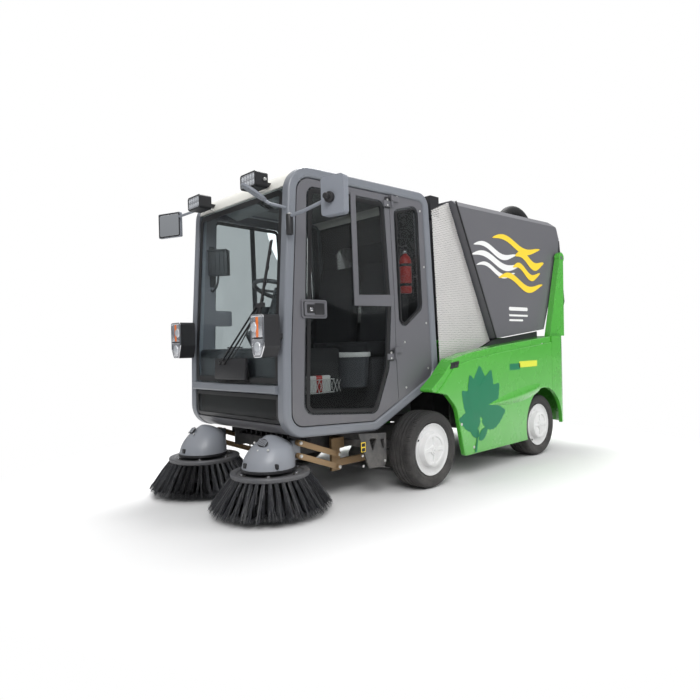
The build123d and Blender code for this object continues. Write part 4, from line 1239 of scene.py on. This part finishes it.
# the fender's long bulge, its latch and bolts
fenderSet = {
    # (y, middle z, half height, bulge)
    "bulge": [
        (0.262, 0.508, 0.002, 0.000), (0.36, 0.514, 0.016, 0.006), (0.50, 0.524, 0.036, 0.013),
        (0.66, 0.538, 0.052, 0.018), (0.82, 0.556, 0.056, 0.018), (0.95, 0.572, 0.050, 0.014),
        (1.03, 0.584, 0.040, 0.008), (1.085, 0.594, 0.028, 0.001),
    ],
    "latch": [
        (-0.1385, 0.843, 0.006), (-0.0465, 0.852, 0.006), (-0.0705, 0.808, 0.006), (-0.1605, 0.799, 0.006),
    ],
    # bolts: (y, z, x of the panel under the head)
    "bolts": [(1.157, 0.954, 0.7690), (-0.234, 0.644, 0.7690), (0.096, 0.218, 0.7795), (-0.05, 0.40, 0.7795)],
    "lengths": 28,
    "widths": 14,
}


def makeFenderSet(label, side):
    bm = bmesh.new()
    path = curve([(y, z, 0) for y, z, half, rise in fenderSet["bulge"]], fenderSet["lengths"])
    size = curve([(half, rise, 0) for y, z, half, rise in fenderSet["bulge"]], fenderSet["lengths"])
    count = fenderSet["widths"]
    rows = []
    for (y, z, _), (half, rise, _) in zip(path, size):
        row = []
        for k in range(count + 1):
            v = k / (count / 2) - 1
            # the bulge's rim lies a little under the panel
            out = rise * (1 - v * v) ** 1.3 if abs(v) < 1 else -0.001
            row.append(bm.verts.new((y, z + half * v, out)))
        rows.append(row)
    for low, high in zip(rows, rows[1:]):
        for k in range(count):
            bm.faces.new((low[k], high[k], high[k + 1], low[k + 1]))
    whole = bmesh.new()
    join(whole, bm, onBody(side, art["fenderX"]))
    makePiece("fenderBulge" + label, whole, ["brightGreen"], sharp=80)
    bm = bmesh.new()
    join(bm, plate(rounded(fenderSet["latch"]), 0.020, 0.004), onBody(side, 0.7565))
    join(bm, plate(roundBox(0.036, 0.022, 0.004, -0.098, 0.826), 0.004, 0.001), onBody(side, 0.7765))
    for y, z, x in fenderSet["bolts"]:
        join(bm, barrel(0.011, 0.003, 20, 0.001), onBody(side, x) @ moved(y, z), 1)
    makePiece("fenderLatch" + label, bm, ["blackPlastic", "boltPale"])


for label, (side, _) in sides.items():
    makeFenderSet(label, side)
print("artwork and fender details made")


# the ribbed hose over the hopper
hose = {
    "ends": ((0.420, 1.1215, 2.060), (0.420, 1.5815, 2.060)),
    "crown": 2.185,
    "radius": 0.044,
    "rib": 0.0042,
    "ribs": 34,
    "ribSteps": 6,
}


def makeHose():
    (x, y0, z0), (_, y1, _) = hose["ends"]
    half, rise = (y1 - y0) / 2, hose["crown"] - z0
    radius = (half * half + rise * rise) / (2 * rise)
    middle = Vector((x, (y0 + y1) / 2, hose["crown"] - radius))
    reach = math.asin(half / radius)
    points, swell = [], []
    count = hose["ribs"] * hose["ribSteps"]
    for k in range(count + 1):
        turn = -reach + 2 * reach * k / count
        points.append(middle + Vector((0, math.sin(turn), math.cos(turn))) * radius)
        swell.append(hose["radius"] + hose["rib"] * (0.5 - 0.5 * math.cos(math.tau * k / hose["ribSteps"])))
    bm = bmesh.new()
    join(bm, pipe(points, hose["radius"], 28, swell))
    for end, toward in ((points[6], points[0]), (points[-7], points[-1])):
        join(bm, barrel(hose["radius"] + 0.006, 0.03, 32, 0.003), aimed(end, toward), 1)
    makePiece("roofHose", bm, ["rubber", "blackPlastic"], "hopper", ["top_hose"], sharp=60)


makeHose()
print("roof hose made")


# what shows inside the cab
inside = {
    "seatX": 0.262,
    # padded parts: (width, depth, thickness), middle (y, z), degrees from flat, crown
    "cushion": ((0.450, 0.450, 0.110), (-0.4635, 0.955), 0, 0.16),
    "back": ((0.440, 0.640, 0.100), (-0.2635, 1.300), 82, 0.18),
    "puff": 0.006,
    "extinguisher": (0.505, -0.300, 1.345),
    "monitor": (-0.430, -1.255, 1.600),
    "basket": (0.400, -1.120, 0.690),
    "tub": (0.390, -0.760, 0.700),
    "levers": (-1.08, 0.96),
}


def pad(width, depth, height, crown, puff):
    # a cushion as a rounded grid: crowned faces, sides pulled in between the corners
    part = bmesh.new()
    bmesh.ops.create_cube(part, size=1)
    bmesh.ops.subdivide_edges(part, edges=part.edges[:], cuts=9, use_grid_fill=True)
    for v in part.verts:
        x, y, z = v.co * 2
        flat = (1 - x**4) * (1 - y**4)
        v.co.x = width / 2 * x * (1 - 0.02 * (1 - y * y)) * (1 - 0.05 * abs(z) ** 3)
        v.co.y = depth / 2 * y * (1 - 0.02 * (1 - x * x)) * (1 - 0.05 * abs(z) ** 3)
        v.co.z = height / 2 * z * (1 - crown + crown * flat)
        # sewn channels across the top and a bolster down each side
        if z > 0.5:
            v.co.z -= puff * (math.cos(x * math.pi * 2.5) > 0.93) * (abs(y) < 0.9)
            v.co.z += puff * 0.8 * (abs(x) > 0.65) * (abs(x) < 0.95)
    return part


def makeSeats():
    pads, bm = bmesh.new(), bmesh.new()
    join(bm, block(0.99, 0.40, 0.418, 0.02), moved(0, -0.455, 0.690))
    for x in (-inside["seatX"], inside["seatX"]):
        for size, middle, lean, crown in (inside["cushion"], inside["back"]):
            join(pads, pad(*size, crown, inside["puff"]), moved(x, *middle) @ turnedBy("X", lean))
        join(bm, block(0.40, 0.40, 0.03, 0.008), moved(x, -0.4635, 0.896), 1)
        join(bm, block(0.05, 0.10, 0.05, 0.01), moved(x, -0.27, 0.965), 1)
    seats = makePiece("seatPads", pads, ["cloth"], "body", ["seats"], sharp=60)
    smooth = seats.modifiers.new("round", "SUBSURF")
    smooth.levels = smooth.render_levels = 1
    makePiece("seatBox", bm, ["interiorGrey", "blackPlastic"], sharp=40)


def makeExtinguisher():
    bm = bmesh.new()
    x, y, z = inside["extinguisher"]
    bottle = [
        (0.0, 0.0001), (0.0, 0.036), (0.010, 0.043), (0.235, 0.043), (0.262, 0.032), (0.275, 0.016),
        (0.285, 0.0145), (0.285, 0.0001),
    ]
    join(bm, spun(bottle, 36), moved(x, y, z))
    join(bm, barrel(0.018, 0.022, 20, 0.003), moved(x, y, z + 0.282), 2)
    join(bm, block(0.016, 0.085, 0.008, 0.003), moved(x, y - 0.025, z + 0.318) @ turnedBy("X", -14), 1)
    join(bm, block(0.014, 0.075, 0.006, 0.002), moved(x, y - 0.022, z + 0.336) @ turnedBy("X", 10), 1)
    route = [(y + 0.015, z + 0.298), (y + 0.055, z + 0.27), (y + 0.056, z + 0.16), (y + 0.050, z + 0.07)]
    join(bm, pipe(curve([(x, *spot) for spot in route], 24), 0.007, 12), None, 1)
    for height in (0.06, 0.20):
        strap = [(-0.010, 0.0435), (-0.010, 0.0455), (0.010, 0.0455), (0.010, 0.0435)]
        join(bm, spun(strap, 36, True), moved(x, y, z + height), 1)
    join(bm, block(0.05, 0.008, 0.30, 0.002), moved(x, y + 0.052, z + 0.13), 1)
    join(bm, block(0.05, 0.09, 0.012, 0.002), moved(x, y + 0.09, z + 0.13), 1)
    makePiece("extinguisher", bm, ["signalRed", "blackPlastic", "chrome"])


def makeMonitor():
    bm = bmesh.new()
    x, y, z = inside["monitor"]
    head = moved(x, y, z) @ turnedBy("Z", 34)
    join(bm, block(0.150, 0.055, 0.185, 0.008), head)
    join(bm, block(0.150, 0.012, 0.012, 0.003), head @ moved(0, -0.031, 0.088))
    join(bm, plate(roundBox(0.128, 0.150, 0.006), 0.001), head @ moved(0, 0.0276, 0) @ turnedBy("X", -90), 1)
    for step in range(4):
        join(bm, block(0.004, 0.004, 0.16, 0.001), head @ moved(-0.05 + 0.033 * step, -0.029, 0))
    join(bm, barrel(0.018, 0.06, 20, 0.003), aimed((x, y, z), (x - 0.07, y - 0.02, z)))
    route = [
        (x - 0.01, y, z - 0.09), (x - 0.02, y - 0.01, z - 0.16), (x - 0.06, y - 0.02, z - 0.20),
        (x - 0.10, y - 0.02, z - 0.17),
    ]
    join(bm, pipe(curve(route, 24), 0.008, 12))
    join(bm, block(0.04, 0.05, 0.30, 0.008), moved(x - 0.095, y - 0.01, z - 0.02))
    makePiece("cabMonitor", bm, ["blackPlastic", "screenDark"])


def makeBasket():
    bm = bmesh.new()
    x, y, z = inside["basket"]
    join(bm, block(0.145, 0.215, 0.105, 0.008), moved(x, y, z + 0.055))
    join(bm, block(0.147, 0.060, 0.107, 0.008), moved(x, y + 0.012, z + 0.055), 1)
    # crossed wires round the box, with a rim at top and foot
    pitch, reach = 0.030, 0.19
    for step in range(-6, 7):
        for lean in (-1, 1):
            foot, top = y + step * pitch, y + step * pitch + lean * pitch
            if abs(top - y) < reach and abs(foot - y) < reach:
                join(bm, barrel(0.0018, 0.085, 6), aimed((x + 0.082, foot, z), (x + 0.086, top, z + 0.08)), 2)
    for height, half in ((0.0, 0.082), (0.082, 0.087)):
        corners = ((-1, -1), (1, -1), (1, 1), (-1, 1), (-1, -1))
        loop = [Vector((x + u * half, y + v * 0.125, z + height)) for u, v in corners]
        for a, b in zip(loop, loop[1:]):
            join(bm, barrel(0.0028, (b - a).length, 8), aimed(a, b), 2)
    makePiece("firstAidBasket", bm, ["foilWhite", "signalRed", "wireWhite"])


def makeTub():
    bm = bmesh.new()
    wall = [(0, 0.0001), (0, 0.105), (0.008, 0.112), (0.19, 0.128), (0.21, 0.130), (0.21, 0.0001)]
    lid = [
        (0.205, 0.0001), (0.205, 0.137), (0.215, 0.139), (0.232, 0.138), (0.236, 0.132), (0.230, 0.120),
        (0.230, 0.0001),
    ]
    for used, profile in enumerate((wall, lid)):
        join(bm, spun(profile, 40), moved(*inside["tub"]), used)
    makePiece("lidTub", bm, ["coverDark", "foilWhite"])


def makeDashGear():
    # switches, a screen and levers on a console
    bm = bmesh.new()
    for step in range(5):
        place = moved(-0.32 + 0.04 * step, -1.26, 0.988) @ turnedBy("X", -8)
        join(bm, block(0.024, 0.016, 0.010, 0.003), place)
    join(bm, block(0.22, 0.05, 0.13, 0.012), moved(0.15, -1.315, 1.03) @ turnedBy("X", 30))
    screen = moved(0.15, -1.285, 1.037) @ turnedBy("X", 120) @ turnedBy("Z", 180)
    join(bm, plate(roundBox(0.17, 0.09, 0.006), 0.001), screen, 1)
    knob = [(0.15, 0.0001), (0.155, 0.014), (0.175, 0.019), (0.195, 0.014), (0.200, 0.0001)]
    for x, lean in ((0.335, 8), (0.395, 12)):
        foot = moved(x, *inside["levers"]) @ turnedBy("X", lean)
        join(bm, barrel(0.007, 0.16, 12), foot)
        join(bm, spun(knob, 20), foot)
    join(bm, block(0.14, 0.30, 0.30, 0.02), moved(0.375, -1.05, 0.82), 2)
    makePiece("dashGear", bm, ["blackPlastic", "screenDark", "interiorDark"])


def makeLining():
    # a roof lining with two sun blinds and a lamp
    bm = bmesh.new()
    join(bm, block(0.92, 0.70, 0.014, 0.006), moved(0, -0.72, 1.995))
    for x, wide in ((-0.22, 0.40), (0.22, 0.34)):
        join(bm, block(wide, 0.20, 0.012, 0.005), moved(x, -1.19, 1.955) @ turnedBy("X", -18))
    join(bm, block(0.34, 0.12, 0.04, 0.012), moved(0, -0.98, 1.972), 1)
    makePiece("roofLining", bm, ["liningGrey", "interiorDark"])


makeSeats()
makeExtinguisher()
makeMonitor()
makeBasket()
makeTub()
makeDashGear()
makeLining()
print("cab inside made")


# wiper: a base, two arms and a blade over the glass
wiperSet = {
    "base": (0.0, -1.448, 0.850),
    "armFeet": (-0.095, -0.045),
    # how far the arms reach to the left of their feet
    "armReach": 0.410,
    "blade": ((0.322, -1.4515, 1.110), (0.452, -1.4255, 1.615)),
    "clips": (0.15, 0.32, 0.5, 0.68, 0.85),
    "hose": [(-0.02, -1.452, 0.90), (0.10, -1.455, 0.98), (0.24, -1.452, 1.12), (0.34, -1.4475, 1.22)],
}


def makeWiper():
    bm = bmesh.new()
    join(bm, block(0.36, 0.034, 0.140, 0.012), moved(*wiperSet["base"]) @ turnedBy("X", -3))
    for x in wiperSet["armFeet"]:
        join(bm, barrel(0.013, 0.020, 20, 0.003), moved(x, -1.462, 0.890) @ turnedBy("X", 90), 1)
        foot, top = Vector((x, -1.468, 0.885)), Vector((x + wiperSet["armReach"], -1.4455, 1.240))
        long = (top - foot).length
        join(bm, block(0.012, 0.007, long, 0.002), aimed(foot, top) @ moved(z=long / 2))
    join(bm, block(0.086, 0.012, 0.026, 0.004), moved(0.343, -1.4455, 1.237))
    low, high = (Vector(p) for p in wiperSet["blade"])
    long = (high - low).length
    spine = aimed(low, high)
    join(bm, block(0.010, 0.008, long, 0.002), spine @ moved(z=long / 2))
    join(bm, block(0.004, 0.014, long * 0.98, 0.0015), spine @ moved(0, 0.009, long / 2), 1)
    for share in wiperSet["clips"]:
        join(bm, block(0.016, 0.012, 0.026, 0.003), spine @ moved(z=long * share))
    join(bm, pipe(curve(wiperSet["hose"], 30), 0.0035, 10), None, 1)
    makePiece("wiperSet", bm, ["blackPlastic", "rubber"], "body", ["wiper"])


makeWiper()


# hex heads and washers on the links' pins, a blank yellow plate and bolts on the guard
linkSet = {
    "x": 0.475,
    "Rear": [(-0.9585, 0.205), (-0.9585, 0.285)],
    "Front": [(-1.2735, 0.320), (-1.2735, 0.400)],
    "guardX": 0.6300,
    "guardBolts": [(-0.90, 0.220), (-0.70, 0.225), (-0.905, 0.285)],
}


def makeLinkSet(label, side, name):
    for part, body in (("Rear", "body"), ("Front", "brush_head_" + name)):
        bm = bmesh.new()
        for y, z in linkSet[part]:
            spot = onBody(side, linkSet["x"]) @ moved(y, z)
            join(bm, barrel(0.017, 0.003, 24, 0.0006), spot @ moved(z=-0.001))
            join(bm, bolt(0.012, 0.009), spot @ moved(z=0.002), 1)
        makePiece("linkBolts" + part + label, bm, ["bronzeLink", "boltPale"], body)
    bm = bmesh.new()
    guard = onBody(side, linkSet["guardX"])
    join(bm, plate(roundBox(0.040, 0.062, 0.003, -0.893, 0.338), 0.0012), guard)
    for z in (0.322, 0.352):
        join(bm, plate(roundBox(0.030, 0.022, 0.002, -0.893, z), 0.0018), guard, 1)
    for y, z in linkSet["guardBolts"]:
        join(bm, bolt(0.009, 0.007), guard @ moved(y, z), 2)
    makePiece("guardPlate" + label, bm, ["foilYellow", "blackPlastic", "boltPale"])


for label, (side, name) in sides.items():
    makeLinkSet(label, side, name)


# a comb of stiff strips under the nose, with the hoses of the brush motors behind it
underNose = {
    "strips": 15,
    "firstStrip": (-0.42, -1.17, 0.402),
    "pitch": 0.06,
    "bar": (0, -1.17, 0.432),
    # hoses: (x, how far it hangs)
    "hoses": [(-0.16, 0.04), (-0.05, 0.055), (0.07, 0.05), (0.17, 0.035)],
    "hoseRadius": 0.009,
}


def makeUnderNose():
    bm = bmesh.new()
    first, y, z = underNose["firstStrip"]
    for step in range(underNose["strips"]):
        place = moved(first + underNose["pitch"] * step, y, z) @ turnedBy("Z", 20)
        join(bm, block(0.010, 0.05, 0.055, 0.002), place)
    join(bm, block(0.90, 0.05, 0.02, 0.004), moved(*underNose["bar"]))
    for x, drop in underNose["hoses"]:
        route = [(0, -1.10, 0.43), (0.02, -1.14, 0.39 - drop), (0.04, -1.06, 0.37 - drop), (0.03, -0.98, 0.42)]
        line = curve([(x + u, y, z) for u, y, z in route], 24)
        join(bm, pipe(line, underNose["hoseRadius"], 12), None, 1)
    makePiece("underNose", bm, ["blackPlastic", "rubber"])


makeUnderNose()


# tail: a bare plate, lamps, and the seal along the hopper's front edge
tail = {
    "plateY": 1.6315,
    "plateZ": 0.700,
    "lampY": 1.6495,
    # lenses: (z, height, finish)
    "lenses": [(0.950, 0.040, 0), (0.903, 0.034, 1), (0.863, 0.030, 2)],
    # the edge's foot and top as (y, z), and the seal's width
    "hopperEdge": ((0.5985, 1.012), (0.0915, 2.035)),
    "sealWidth": 0.014,
}


def makeTail():
    bm = bmesh.new()
    back = onBack(1, tail["plateY"])
    join(bm, plate(roundBox(0.32, 0.11, 0.008, 0, tail["plateZ"]), 0.004, 0.001), back)
    for x in (-0.1, 0.1):
        join(bm, bolt(0.008, 0.004), back @ moved(x, tail["plateZ"], 0.004), 1)
    makePiece("tailPlate", bm, ["foilWhite", "boltPale"])
    foot, top = (Vector(spot) for spot in tail["hopperEdge"])
    out = (top - foot).normalized().orthogonal() * tail["sealWidth"]
    for label, (side, _) in sides.items():
        bm = bmesh.new()
        for z, high, used in tail["lenses"]:
            lens = plate(roundBox(0.070, high, 0.006, -0.535, z), 0.005, 0.002)
            join(bm, lens, onBack(side, tail["lampY"]), used)
        makePiece("tailLamp" + label, bm, ["redLens", "amberLens", "reflector"])
        bm = bmesh.new()
        join(bm, plate([foot, top, top + out, foot + out], 0.006, 0.002), onBody(side, 0.6775))
        makePiece("hopperSeal" + label, bm, ["sealBlack"], "hopper")


makeTail()
print("small fittings made")
